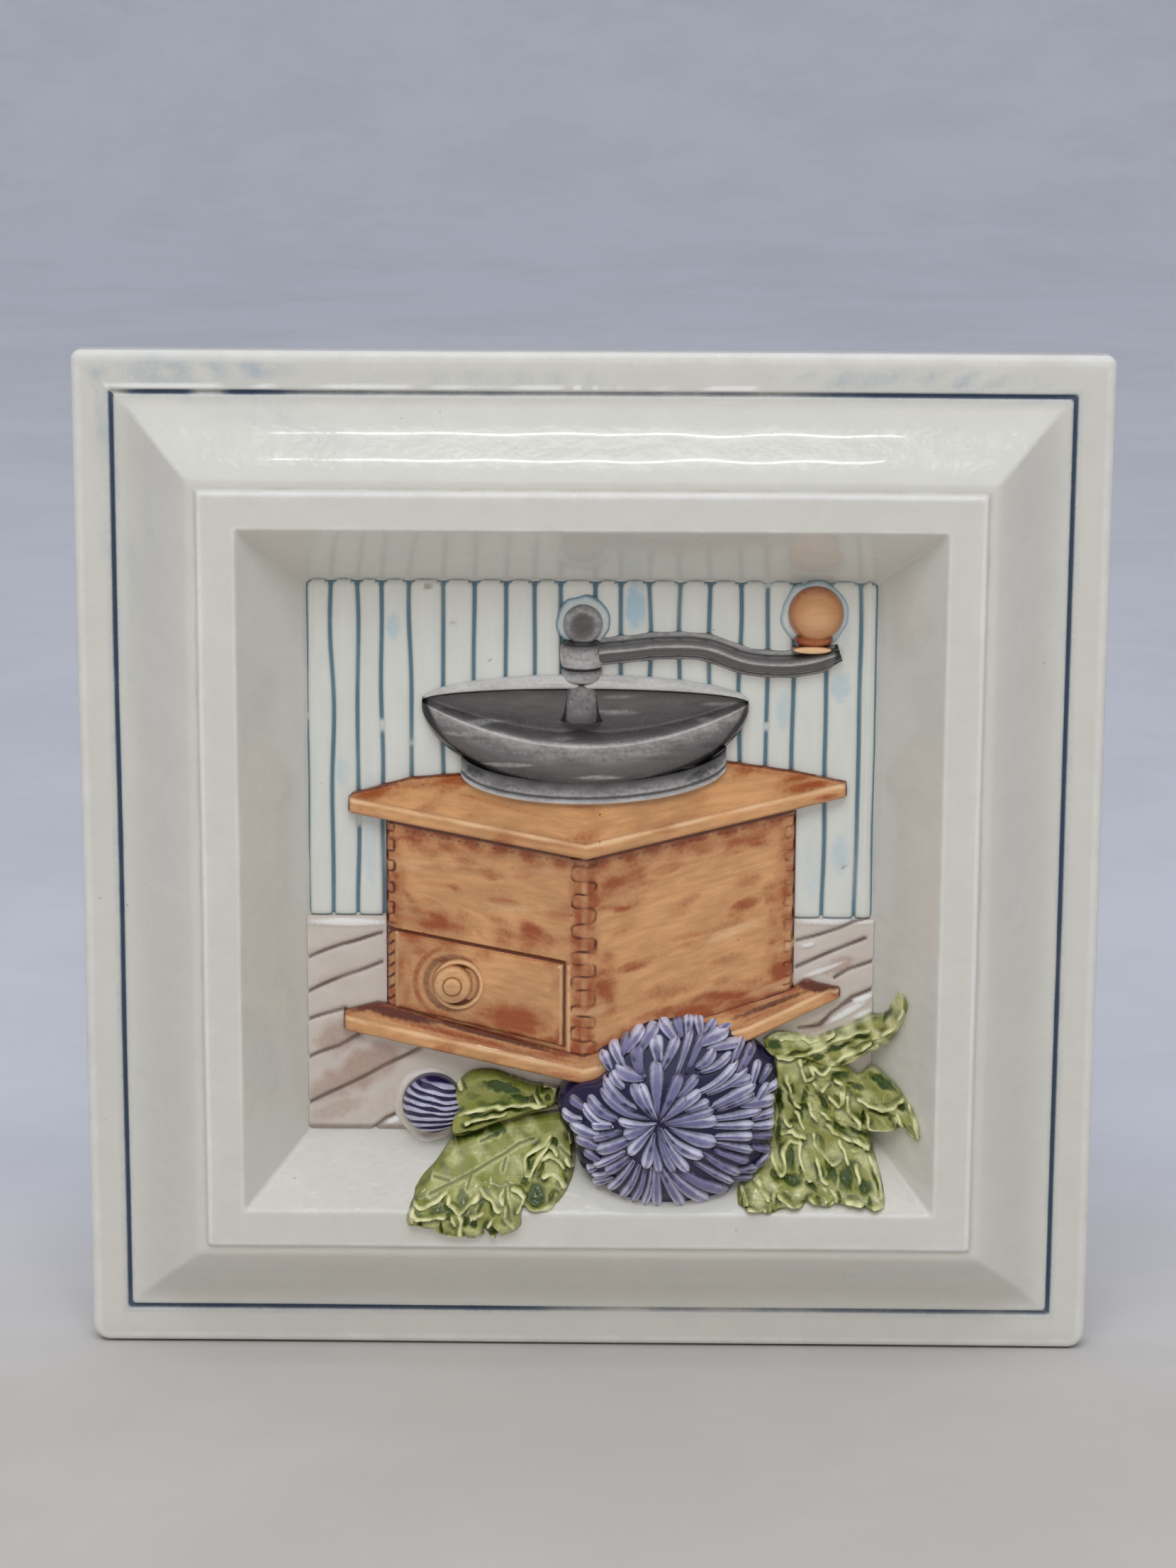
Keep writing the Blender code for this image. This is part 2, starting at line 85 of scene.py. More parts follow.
class PlaqueSizes(bpy.types.PropertyGroup):
    """Sizes of the frame's moulding."""

    side: length("Side", (HIGH.x - LOW.x) / MM, "Outer width and height")
    edge_height: length("Edge height", 7.9, "Height of the outer edge")
    rim_width: length("Rim width", 7.8, "From the outer edge to the middle of the groove")
    rim_height: length("Rim height", 8.4, "Height of the rim above the back")
    groove_width: length("Groove width", 1.4, "Width of the painted groove")
    groove_depth: length("Groove depth", 0.7, "Depth of the painted groove")
    cove_width: length("Cove width", 14.4, "Width of the hollow moulding")
    cove_rise: length("Cove rise", 11.7, "Rise of the hollow moulding")
    band_width: length("Band width", 6.6, "Width of the raised band")
    bevel_width: length("Bevel width", 11.9, "Width of the slope down to the picture")
    panel: length("Panel", 4.7, "Height of the picture panel above the back")
    waviness: length("Waviness", 0.22, "How far the slip-cast edges wander inwards")


class PlaqueColours(bpy.types.PropertyGroup):
    """Colours of the glazes and the stage."""

    cream: colour("Cream", 200, 199, 193, "Glaze of the frame")
    line_blue: colour("Line blue", 62, 76, 96, "Painted groove round the frame")
    # white is also painted highlight: on the frame's edges and its glint, near the tops of the wall boards'
    # grooves and on the floor boards' edges.
    white: colour("White", 232, 233, 228, "Thin glaze on sharp edges")
    smear_blue: colour("Smear blue", 150, 165, 176, "Thin smears of the line's paint")
    # Dark specks of the glazes, and dust and painted shade in the inner angles of the frame.
    dust_and_shade: colour("Dust", 150, 140, 125, "Dust in the inner angles")
    wall: colour("Wall", 206, 208, 203, "Glaze of the wall boards")
    board_blue: colour("Board blue", 80, 112, 128, "Paint in the grooves of the wall boards")
    mist_blue: colour("Mist blue", 158, 184, 196, "Pale smudges on the wall boards")
    floor: colour("Floor", 196, 187, 179, "Glaze of the floor boards")
    mauve: colour("Mauve", 162, 136, 124, "Darker wash on the floor boards")
    floor_line: colour("Floor line", 104, 88, 82, "Paint in the grooves of the floor boards")
    wood: colour("Wood", 208, 154, 104, "Glaze of the mill's wood")
    stain: colour("Stain", 142, 68, 26, "Darker patches on the mill's wood")
    # umber also paints shade under the top board, under the boards' nosings, along their backs and round the
    # drawer's knob; wood_pale paints highlights on the front corner, the nosings and the knobs, besides thin
    # glaze on edges.
    umber: colour("Umber", 88, 36, 16, "Lines and hollows of the mill's wood")
    wood_pale: colour("Pale wood", 216, 178, 136, "Thin glaze on the edges of the mill's wood")
    # black also paints the shade at the bowl's foot and under the crank's bar, and silver the highlights on
    # the bowl's near rim, the bar, the post's rings and the nut; iron_dark also fills BOWL_SHADE.
    iron: colour("Iron", 98, 95, 97, "Glaze of the hopper and crank")
    iron_dark: colour("Dark iron", 70, 66, 65, "Inside of the hopper")
    black: colour("Black", 26, 24, 28, "Lines of the hopper and crank")
    silver: colour("Silver", 196, 195, 194, "Bright edges of the hopper and crank")
    violet: colour("Violet", 112, 108, 150, "Petals")
    indigo: colour("Indigo", 22, 18, 60, "Between the petals")
    lilac: colour("Lilac", 200, 200, 220, "Bright edges of the petals")
    leaf: colour("Leaf", 148, 150, 78, "Leaves")
    olive: colour("Olive", 118, 126, 44, "Thicker glaze on the leaves")
    # leaf_pale is also the painted highlight on the ridges, and leaf_dark also the painted shadow at the
    # ridges' feet and in the creases' dips.
    leaf_dark: colour("Dark leaf", 44, 66, 12, "Hollows of the leaves")
    leaf_pale: colour("Pale leaf", 218, 218, 168, "Ridges of the leaves")
    backdrop: colour("Backdrop", 194, 197, 207, "Wall and far floor of the stage")
    floor_front: colour("Floor in front", 188, 184, 180, "Floor of the stage before the plaque")


def mm(name):
    """A size of the plaque in millimetres."""
    return getattr(bpy.context.scene.plaque_sizes, name) / MM


def hue(name):
    return tuple(getattr(bpy.context.scene.plaque_colours, name))


# Numbers over a surface.


def ease(low, high, value):
    """0 below low and 1 above high, with a smooth step between; low may be the greater."""
    t = np.clip((value - low) / (high - low), 0, 1)
    return t * t * (3 - 2 * t)


def bend(x, places):
    """A broken line through (x, value) places."""
    along, values = zip(*places)
    return np.interp(x, along, values)


def ripple(x, z, size, seed):
    """Smooth noise between about -1 and 1: a fifth of the sum of eight sine waves of about that size, each
    with its own direction, length and start."""
    draw = np.random.default_rng(seed)
    total = 0.0
    for _ in range(8):
        turn, start, stretch = draw.uniform(0, math.tau), draw.uniform(0, math.tau), draw.uniform(0.7, 1.5)
        way = x * math.cos(turn) + z * math.sin(turn)
        total = total + np.sin(math.tau * way / (size * stretch) + start)
    return total / 5


def blob(x, z, place, edge=(1.25, 0.45)):
    """An oval patch (x, z, half length, half width, tilt in degrees, strength). Its edge fades out between
    two shares of its size."""
    cx, cz, long, wide, tilt, strength = place
    c, s = math.cos(math.radians(tilt)), math.sin(math.radians(tilt))
    u = ((x - cx) * c + (z - cz) * s) / long
    v = ((z - cz) * c - (x - cx) * s) / wide
    return strength * ease(*edge, np.hypot(u, v) + 0.16 * ripple(x, z, min(long, wide), 7))


def blobs(x, z, places, edge=(1.25, 0.45)):
    """The strongest of several oval patches at each point."""
    return np.max([blob(x, z, place, edge) for place in places], axis=0)


def strongest(*masks):
    """The greatest of several masks at each point."""
    return np.max(masks, axis=0)


def way_to(x, z, line):
    """Distance from each point to a broken line of (x, z) places."""
    nearest = np.full(np.shape(x), 1e9)
    for (ax, az), (bx, bz) in zip(line, line[1:]):
        dx, dz = bx - ax, bz - az
        t = np.clip(((x - ax) * dx + (z - az) * dz) / (dx * dx + dz * dz), 0, 1)
        nearest = np.minimum(nearest, np.hypot(x - ax - t * dx, z - az - t * dz))
    return nearest


def stroke(distance, half_width):
    """1 on a line and 0 a little past its half width."""
    return ease(1.35 * half_width, 0.45 * half_width, distance)


def smooth_line(points, count):
    """A Catmull-Rom curve through the points, or through whole rows of points, as count of them."""
    points = np.array(points, float)
    knots = np.concatenate([[2 * points[0] - points[1]], points, [2 * points[-1] - points[-2]]])
    share = np.linspace(0, len(points) - 1, count)
    k = np.minimum(share.astype(int), len(points) - 2)
    t = (share - k).reshape((-1,) + (1,) * (points.ndim - 1))
    a, b, c, d = (knots[k + i] for i in range(4))
    return 0.5 * (2 * b + (c - a) * t + (2 * a - 5 * b + 4 * c - d) * t**2 + (3 * b - a - 3 * c + d) * t**3)


def loft_values(values, count):
    """Values given once for each control row, as straight steps over count rows."""
    values = np.array(values, float)
    share = np.linspace(0, len(values) - 1, count)
    k = np.minimum(share.astype(int), len(values) - 2)
    t = (share - k).reshape((-1,) + (1,) * (values.ndim - 1))
    return values[k] * (1 - t) + values[k + 1] * t


# The clay behind the relief.

STEP_WIDTH, STEP_RISE = 2.8, 1.3  # from the end of the cove to the raised band


def insets():
    """Insets of the cove's two edges, the band's two edges and the panel's edge."""
    cove_start = mm("rim_width") + mm("groove_width") / 2
    cove_end = cove_start + mm("cove_width")
    band_start = cove_end + STEP_WIDTH
    band_end = band_start + mm("band_width")
    return cove_start, cove_end, band_start, band_end, band_end + mm("bevel_width")


def cove_share(t):
    """Share of the cove's rise at share t of its width: the mean of t to the power 1.7 and a smooth step."""
    return 0.5 * t**1.7 + 0.5 * t * t * (3 - 2 * t)


def band_height():
    return mm("rim_height") + mm("cove_rise") + STEP_RISE


def ground(x, z):
    """Height of the plain frame and panel."""
    cove_start, cove_end, band_start, band_end, panel_edge = insets()
    t = np.linspace(0, 1, 12)
    across = [0, *(cove_start + mm("cove_width") * t), band_start, band_end, panel_edge]
    heights = [
        mm("edge_height"), *(mm("rim_height") + mm("cove_rise") * cove_share(t)),
        band_height(), band_height(), mm("panel"),
    ]
    return np.interp(mm("side") / 2 - np.maximum(np.abs(x), np.abs(z)), across, heights)


def drape(x, z):
    """Height of a loose skin over the bevel, bridging its hollow foot as a cast leaf does."""
    _, cove_end, _, band_end, edge = insets()
    across = [cove_end, band_end, edge - 6, edge, edge + 6]
    heights = [band_height(), band_height()] + [mm("panel") + lift for lift in (9.0, 3.8, 2.4)]
    return np.interp(mm("side") / 2 - np.maximum(np.abs(x), np.abs(z)), across, heights)


# Meshes. A skin is a closed surface: its points, its lists of faces, and its paint masks.

MASKS = ("wash", "pale", "deep", "line")


def skin(points, faces, masks, grain=None, source=slice(None)):
    """A skin whose faces point outwards: they are turned round if its signed volume is negative. The masks
    and the grain hold values for the painted points, and source says which of them each point takes."""
    points = np.asarray(points, float).reshape(-1, 3)
    volume = 0.0
    for group in faces:
        a = points[group[:, 0]]
        for k in range(1, group.shape[1] - 1):
            volume += np.einsum("ij,ij->", a, np.cross(points[group[:, k]], points[group[:, k + 1]]))
    # (x, z, h) to (x, -h, z) keeps the hand of a shape.
    if volume < 0:
        faces = [group[:, ::-1] for group in faces]
    paint = {}
    for name in MASKS:
        value = np.broadcast_to(np.asarray(masks.get(name, 0.0), float), masks["shape"]).reshape(-1)
        paint[name] = np.clip(value, 0, 1)[source]
    grain = points if grain is None else np.asarray(grain, float).reshape(-1, 3)[source]
    return points, faces, paint, grain


def grid_faces(rows, columns, closed=False):
    index = np.arange(rows * columns).reshape(rows, columns)
    nxt = np.roll(index, -1, axis=1) if closed else index[:, 1:]
    cur = index if closed else index[:, :-1]
    return np.stack([cur[:-1], nxt[:-1], nxt[1:], cur[1:]], axis=-1).reshape(-1, 4), index


def sunk(points, sink):
    """The points, none of them far below the clay's front, and their places that far into the clay."""
    front = points.reshape(-1, 3).copy()
    deep = front.copy()
    deep[:, 2] = ground(front[:, 0], front[:, 1]) - sink
    front[:, 2] = np.maximum(front[:, 2], deep[:, 2] + 0.5 * sink)
    return front, deep


def sheet(points, masks=None, grain=None, sink=SINK):
    """A closed skin: the front grid of (x, z, h) points, a wall along its border into the clay behind it, and
    a rear in the clay, which is one face where the clay's front is flat and else a copy of the grid."""
    rows, columns, _ = points.shape
    faces, index = grid_faces(rows, columns)
    count = rows * columns
    front, deep = sunk(points, sink)
    border = np.concatenate([index[0, :-1], index[:-1, -1], index[-1, :0:-1], index[:0:-1, 0]])
    if np.ptp(deep[:, 2]) < 0.3:
        source, foot = border, count + np.arange(len(border))
        rear = foot[None, ::-1]
    else:
        source, foot = index.reshape(-1), count + border
        rear = faces[:, ::-1] + count
    wall = np.stack([np.roll(border, -1), border, foot, np.roll(foot, -1)], axis=-1)
    masks = {**(masks or {}), "shape": (rows, columns)}
    both = np.append(np.arange(count), source)
    return skin(np.vstack([front, deep[source]]), [faces, rear, wall], masks, grain, both)


def dome(rings, top, masks=None, sink=SINK):
    """A closed skin: rings of (x, z, h) points, outermost first, a top point, and the same sunk behind."""
    count, around, _ = rings.shape
    quads, index = grid_faces(count, around, closed=True)
    size = count * around + 1
    inner = index[-1]
    cap = np.stack([inner, np.roll(inner, -1), np.full(around, size - 1)], axis=-1)
    front, deep = sunk(np.vstack([rings.reshape(-1, 3), top]), sink)
    border, after = index[0], np.roll(index[0], -1)
    wall = np.stack([after, border, border + size, after + size], axis=-1)
    masks = dict(masks or {})
    for name in MASKS:
        value = np.broadcast_to(np.asarray(masks.get(name, 0.0), float), (count, around))
        masks[name] = np.append(value.reshape(-1), value[-1].mean())
    masks["shape"] = (size,)
    faces = [quads, cap, quads[:, ::-1] + size, cap[:, ::-1] + size, wall]
    return skin(np.vstack([front, deep]), faces, masks, source=np.tile(np.arange(size), 2))


def boss(x, z, radius_x, radius_z, steps, masks=None, around=56, rings=26, wobble=0.0):
    """An oval boss on the panel: a profile of (share of the radius, lift) steps, smoothed and turned round
    the middle. Each mask holds one value for each step."""
    profile = smooth_line(steps, rings)
    share = np.clip(profile[:, :1], 0.015, None)
    angle = np.linspace(0, math.tau, around, endpoint=False)
    share = share * (1 + wobble * ripple(np.cos(angle) * 9, np.sin(angle) * 9, 7, 3))
    rings_of = np.stack([
        x + radius_x * share * np.cos(angle),
        z + radius_z * share * np.sin(angle),
        profile[:, 1:] + 0 * share * angle,
    ], axis=-1)
    rings_of[..., 2] += ground(rings_of[..., 0], rings_of[..., 1])
    paint = {name: loft_values(values, rings)[:, None] for name, values in (masks or {}).items()}
    top = (x, z, float(ground(x, z)) + profile[-1, 1])
    return dome(rings_of, top, paint)


def add_piece(name, skins, material):
    """Joins skins into one mesh object that rides on the plaque's body."""
    start, points, faces, grain = 0, [], [], []
    paint = {mask: [] for mask in MASKS}
    for part_points, part_faces, part_paint, part_grain in skins:
        points.append(part_points)
        grain.append(part_grain)
        for group in part_faces:
            faces.extend((group + start).tolist())
        for mask in MASKS:
            paint[mask].append(part_paint[mask])
        start += len(part_points)
    points = np.vstack(points)
    places = np.stack([points[:, 0], -points[:, 2], points[:, 1]], axis=-1) * MM
    mesh = bpy.data.meshes.new(name)
    mesh.from_pydata(places.tolist(), [], faces)
    for mask in MASKS:
        layer = mesh.attributes.new(mask, "FLOAT", "POINT")
        layer.data.foreach_set("value", np.concatenate(paint[mask]).astype(np.float32))
    layer = mesh.attributes.new("grain", "FLOAT_VECTOR", "POINT")
    layer.data.foreach_set("vector", np.vstack(grain).astype(np.float32).reshape(-1))
    mesh.shade_smooth()
    mesh.set_sharp_from_angle(angle=math.radians(62))
    mesh.materials.append(material)
    piece = bpy.data.objects.new(name, mesh)
    bpy.context.scene.collection.objects.link(piece)
    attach(piece, "root")
    return piece


# Materials.


class Val:
    """A socket that takes part in Python arithmetic, by way of Math nodes."""

    def __init__(self, glaze, socket):
        self.glaze = glaze
        self.socket = socket

    def maths(self, operation, *values):
        return self.glaze.node("ShaderNodeMath", {"operation": operation}, dict(enumerate(values)))

    def __add__(self, other):
        return self.maths("ADD", self, other)

    def __sub__(self, other):
        return self.maths("SUBTRACT", self, other)

    def __rsub__(self, other):
        return self.maths("SUBTRACT", other, self)

    def __mul__(self, other):
        return self.maths("MULTIPLY", self, other)

    __radd__ = __add__
    __rmul__ = __mul__


class Glaze:
    """A material under construction."""

    def __init__(self, name):
        self.material = bpy.data.materials.new(name)
        self.material.use_nodes = True
        self.tree = self.material.node_tree
        self.shader = self.tree.nodes["Principled BSDF"]

    def node(self, kind, settings=None, sockets=None, out=0):
        """A node of this type: its settings first, then the values or links of its sockets."""
        made = self.tree.nodes.new(kind)
        for name, value in (settings or {}).items():
            setattr(made, name, value)
        for name, value in (sockets or {}).items():
            self.plug(made, name, value)
        return Val(self, made.outputs[out])

    def plug(self, made, name, value):
        if isinstance(value, Val):
            self.tree.links.new(value.socket, made.inputs[name])
        elif isinstance(value, tuple) and made.inputs[name].type == "RGBA":
            made.inputs[name].default_value = (*value[:3], 1.0)
        else:
            made.inputs[name].default_value = value

    def mask(self, name):
        return self.node("ShaderNodeAttribute", {"attribute_name": name}, out="Fac")

    def grain(self, *stretch):
        """The pattern's place on the surface, in millimetres, each way times its stretch."""
        place = self.node("ShaderNodeAttribute", {"attribute_name": "grain"}, out="Vector")
        return self.node("ShaderNodeVectorMath", {"operation": "MULTIPLY"}, {0: place, 1: stretch})

    def noise(self, place, scale, detail=3.0, rough=0.55, distortion=0.0):
        sockets = {
            "Vector": place, "Scale": scale, "Detail": detail, "Roughness": rough, "Distortion": distortion,
        }
        return self.node("ShaderNodeTexNoise", sockets=sockets)

    def step(self, value, low, high):
        sockets = {"Value": value, "From Min": low, "From Max": high}
        return self.node("ShaderNodeMapRange", {"interpolation_type": "SMOOTHSTEP"}, sockets)

    def mix(self, share, first, second):
        """The first colour, going over to the second as the share goes from 0 to 1."""
        return self.node("ShaderNodeMix", {"data_type": "RGBA"}, {0: share, 6: first, 7: second}, out=2)

    def specks(self, place, scale, share, size):
        """1 in a share of the cells of a scattered pattern, in a round speck of that size."""
        sockets = {"Vector": place, "Scale": scale}
        spot = self.step(self.node("ShaderNodeTexVoronoi", sockets=sockets, out="Distance"), size, size * 0.4)
        draw = self.node("ShaderNodeTexVoronoi", sockets=sockets, out="Color")
        chosen = self.node("ShaderNodeSeparateColor", sockets={0: draw})
        return spot * self.step(chosen, 1 - share, 1 - share + 0.01)


def glazed(
    name, base, wash, pale, deep, line, streak=(1, 1, 1), size=0.12, uneven=0.35, shade=0.1,
    specks=0.02, roughness=0.16, ripples=0.12,
):
    """A painted glaze over cream clay. The masks say where each colour lies; noise that is stretched along
    the brush strokes breaks it up, and the coat pools and ripples."""
    g = Glaze(name)
    place = g.grain(1, 1, 1)
    strokes = g.noise(g.grain(*streak), size, detail=6.0, rough=0.65)
    cloud = g.noise(place, 0.07, detail=3.0)
    fine = g.noise(place, 1.3, detail=4.0, rough=0.6)
    drift = (strokes - 0.5) * (2 * uneven) + (fine - 0.5) * (1.2 * uneven)
    darker = tuple(channel * (1 - 2.2 * shade) for channel in hue(base))
    colour_now = g.mix(g.step(strokes * 0.6 + cloud * 0.4, 0.35, 0.68), darker, hue(base))
    coats = (("wash", wash, 1.0), ("deep", deep, 0.8), ("pale", pale, 0.8), ("line", line, 0.45))
    for mask, paint, part in coats:
        share = g.step(g.mask(mask) + drift * part * g.step(g.mask(mask), 0.0, 0.3), 0.02, 0.98)
        colour_now = g.mix(share, colour_now, hue(paint))
    if specks:
        colour_now = g.mix(g.specks(place, 0.55, specks, 0.16) * 0.75, colour_now, hue(deep))
    g.plug(g.shader, "Base Color", colour_now)
    g.plug(g.shader, "Roughness", fine * 0.14 + (roughness - 0.05))
    g.shader.inputs["Coat Weight"].default_value = 0.5
    g.shader.inputs["Coat Roughness"].default_value = 0.06
    relief = g.noise(place, 0.33, detail=2.0) * 0.8 + fine * 0.1
    bump = g.node("ShaderNodeBump", sockets={"Strength": ripples, "Distance": 0.0006, "Height": relief})
    g.plug(g.shader, "Normal", bump)
    return g.material


def material(name):
    """The named glaze, made once."""
    recipes = {
        "cream_glaze": dict(
            base="cream", wash="smear_blue", pale="white", deep="dust_and_shade", line="line_blue", shade=0.02,
            specks=0.012, ripples=0.3,
        ),
        "wall_glaze": dict(
            base="wall", wash="mist_blue", pale="white", deep="dust_and_shade", line="board_blue",
            streak=(1, 0.16, 1), size=0.5, shade=0.03, specks=0.015,
        ),
        "floor_glaze": dict(
            base="floor", wash="mauve", pale="white", deep="dust_and_shade", line="floor_line", streak=(0.5, 1, 1),
            size=0.3, shade=0.05,
        ),
        "wood_glaze": dict(
            base="wood", wash="stain", pale="wood_pale", deep="umber", line="umber", streak=(0.2, 1, 1),
            size=0.8, uneven=0.5, shade=0.15, specks=0.03,
        ),
        "iron_glaze": dict(
            base="iron", wash="iron_dark", pale="silver", deep="black", line="black", streak=(0.3, 1, 1),
            size=0.5, uneven=0.45, shade=0.1, specks=0,
        ),
        "violet_glaze": dict(
            base="violet", wash="indigo", pale="lilac", deep="indigo", line="indigo", size=0.6, shade=0.08,
            specks=0,
        ),
        "green_glaze": dict(
            base="leaf", wash="olive", pale="leaf_pale", deep="leaf_dark", line="leaf_dark", size=0.35,
            uneven=0.5, shade=0.14, specks=0,
        ),
    }
    return bpy.data.materials.get("painted_" + name) or glazed("painted_" + name, **recipes[name])


# The frame.

EDGE_ROUND, BAND_ROUND = 1.6, 0.7
GROOVE_STEPS = (  # share of the groove's half width, share of its depth, line
    (-1.15, 0, 0), (-0.8, 0.16, 0.3), (-0.35, 0.75, 1), (0, 1, 1), (0.35, 0.8, 1), (0.75, 0.2, 0.4),
    (1.1, 0, 0),
)


def front_profile():
    """(inset, height, line, pale, deep) from the foot's chamfer over the rim, groove, cove, band and bevel,
    down to just under the picture's boards."""
    cove_start, cove_end, band_start, band_end, panel_edge = insets()
    rim, edge, groove = mm("rim_height"), mm("edge_height"), mm("rim_width")
    half, depth = mm("groove_width") / 2, mm("groove_depth")
    rows = [(0.8, 0.0, 0, 0, 0), (0.3, 0.25, 0, 0, 0), (0.0, 0.8, 0, 0, 0), (0.0, 3.5, 0, 0, 0)]
    # The pale on the outer edge's round is thin glaze and a painted highlight.
    for angle in np.linspace(0, math.pi / 2, 7):
        inset, height = EDGE_ROUND * (1 - math.cos(angle)), edge - EDGE_ROUND * (1 - math.sin(angle))
        rows.append((inset, height, 0, 0.4, 0))
    rows += [(share, edge + (rim - edge) * share / groove, 0, 0, 0) for share in (2.6, 4.2, 5.8, 6.6)]
    for across, drop, line in GROOVE_STEPS:
        rows.append((groove + across * half, rim - depth * drop, line, 0, 0))
    for t in np.linspace(0.03, 1, 30):
        height = rim + mm("cove_rise") * cove_share(t)
        rows.append((cove_start + mm("cove_width") * t, height, 0, 0, 0))
    top, cove_top = band_height(), rim + mm("cove_rise")
    # The deep in the step below the band is painted shade; the pale on the band's edges, here and on its
    # inner round below, is thin glaze and a painted highlight.
    rows += [
        (cove_end + 0.9, cove_top + 0.28, 0, 0, 0), (cove_end + 1.6, cove_top + 0.3, 0, 0, 0.25),
        (cove_end + 1.9, cove_top + 0.36, 0, 0, 0.35), (cove_end + 2.15, cove_top + 0.75, 0, 0, 0),
        (cove_end + 2.45, top - 0.22, 0, 0.6, 0), (band_start + 0.1, top - 0.04, 0, 0.6, 0),
        (band_start + 0.6, top, 0, 0.2, 0), (band_start + 3.0, top, 0, 0, 0), (band_end - 1.0, top, 0, 0, 0),
    ]
    slope = math.atan2(top - mm("panel"), mm("bevel_width"))
    start = band_end - BAND_ROUND * math.tan(slope / 2)
    for angle in np.linspace(0, slope, 7):
        inset, height = start + BAND_ROUND * math.sin(angle), top - BAND_ROUND * (1 - math.cos(angle))
        rows.append((inset, height, 0, 0.3, 0))
    # The deep at the bevel's foot is dust and painted shade.
    for t in np.linspace(0.06, 1, 13):
        rows.append((band_end + mm("bevel_width") * t, top + (mm("panel") - top) * t, 0, 0, 0.3 * (t > 0.93)))
    rows.append((panel_edge + 0.5, mm("panel") - 0.5, 0, 0, 0))
    return np.array(rows, float)


BACK_PROFILE = (  # (inset, height, how much of the nail's notch it follows)
    (9.5, 0.0, 1.0), (9.55, 0.5, 1.0), (9.7, 2.9, 1.0), (9.72, 2.95, 0.0), (10.4, 3.4, 0.0),
    (17.5, 9.3, 0.0), (24.7, 15.35, 0.0), (26.2, 15.4, 0.0), (30.4, 15.4, 0.0), (35.9, 7.7, 0.0),
    (40.9, 0.6, 0.0), (41.4, 0.0, 0.0), (42.2, 0.0, 0.0), (50.0, 0.0, 0.0),
)
NOTCH_RADIUS = 4.0


def square_ring(inset, notch):
    """Rings of a square with rounded corners: arrays (ring, point) of x and z. The nail's notch is a half
    circle that the ring's upper side follows."""
    half = mm("side") / 2 - inset
    arc = np.linspace(-math.pi / 4, math.pi / 4, 9)
    rest = np.linspace(-1, 1, 57)[1:-1]
    middle = np.linspace(-1.15, 1.15, 25) * NOTCH_RADIUS / (mm("side") / 2 - BACK_PROFILE[0][0])
    run = np.sort(np.concatenate([rest[np.abs(rest) > middle[-1] + 0.01], middle]))
    xs, zs = [], []
    for corner in range(4):
        outer = 2.0 if corner < 2 else 3.6
        radius = np.maximum(outer - inset, 0.8)
        turn = math.pi / 4 + corner * math.pi / 2
        cx = np.sign(math.cos(turn)) * (half - radius)
        cz = np.sign(math.sin(turn)) * (half - radius)
        xs.append(cx + radius * np.cos(turn + arc))
        zs.append(cz + radius * np.sin(turn + arc))
        flat = half - radius
        out = turn + math.pi / 4
        c, s = round(math.cos(out)), round(math.sin(out))
        xs.append(c * half - s * flat * run)
        zs.append(s * half + c * flat * run)
    x, z = np.hstack(xs), np.hstack(zs)
    reach = np.sqrt(np.maximum(NOTCH_RADIUS**2 - x**2, 0))
    return x, np.where(z > half - 0.01, z + notch * reach, z)


def frame_rings(rows, notch):
    """Points of the rings, drawn in a little by the casting's waviness."""
    x, z = square_ring(rows[:, :1], notch)
    outer_x, outer_z = square_ring(np.zeros((1, 1)), 0.0)
    drawn = mm("waviness") * (0.5 + 0.5 * ripple(outer_x, outer_z, 75, 11))
    share = np.clip(drawn, 0, mm("waviness")) / (mm("side") / 2)
    wave = 0.12 * ripple(outer_x + rows[:, :1], outer_z, 28, 5) * ease(4, 10, rows[:, :1])
    height = rows[:, 1:2] + wave * (rows[:, 1:2] > 8.5) * np.where(rows[:, :1] > 25.0, 0.3, 1.0)
    return np.stack([x * (1 - share), z * (1 - share), np.broadcast_to(height, x.shape)], axis=-1)


# How strong the blue line is at places from left to right, and the smears near it.
LINE_AT_TOP = (
    (-93, 0.3), (-90, 0.4), (-87, 1), (-78, 1), (-75, 0.4), (-71, 0.5), (-69, 1), (-60, 0.9), (-52, 0.55),
    (-10, 0.5), (40, 0.6), (55, 1), (95, 1),
)
LINE_AT_FOOT = ((-95, 0.9), (-55, 1), (-12, 0.85), (0, 0.45), (35, 0.5), (55, 0.7), (95, 0.75))
LINE_SMEARS = (
    (-78, 96, 26, 4, 0, 0.5), (-20, 95, 34, 2.5, 0, 0.3), (60, 95, 34, 2.6, 0, 0.4),
    (-93, 76, 20, 4, 90, 0.4), (-88, 60, 44, 5, 90, 0.22), (-62, 88, 28, 4, -14, 0.25),
    (92, 40, 50, 2.5, 90, 0.2), (-90, 0, 60, 4, 90, 0.16),
)


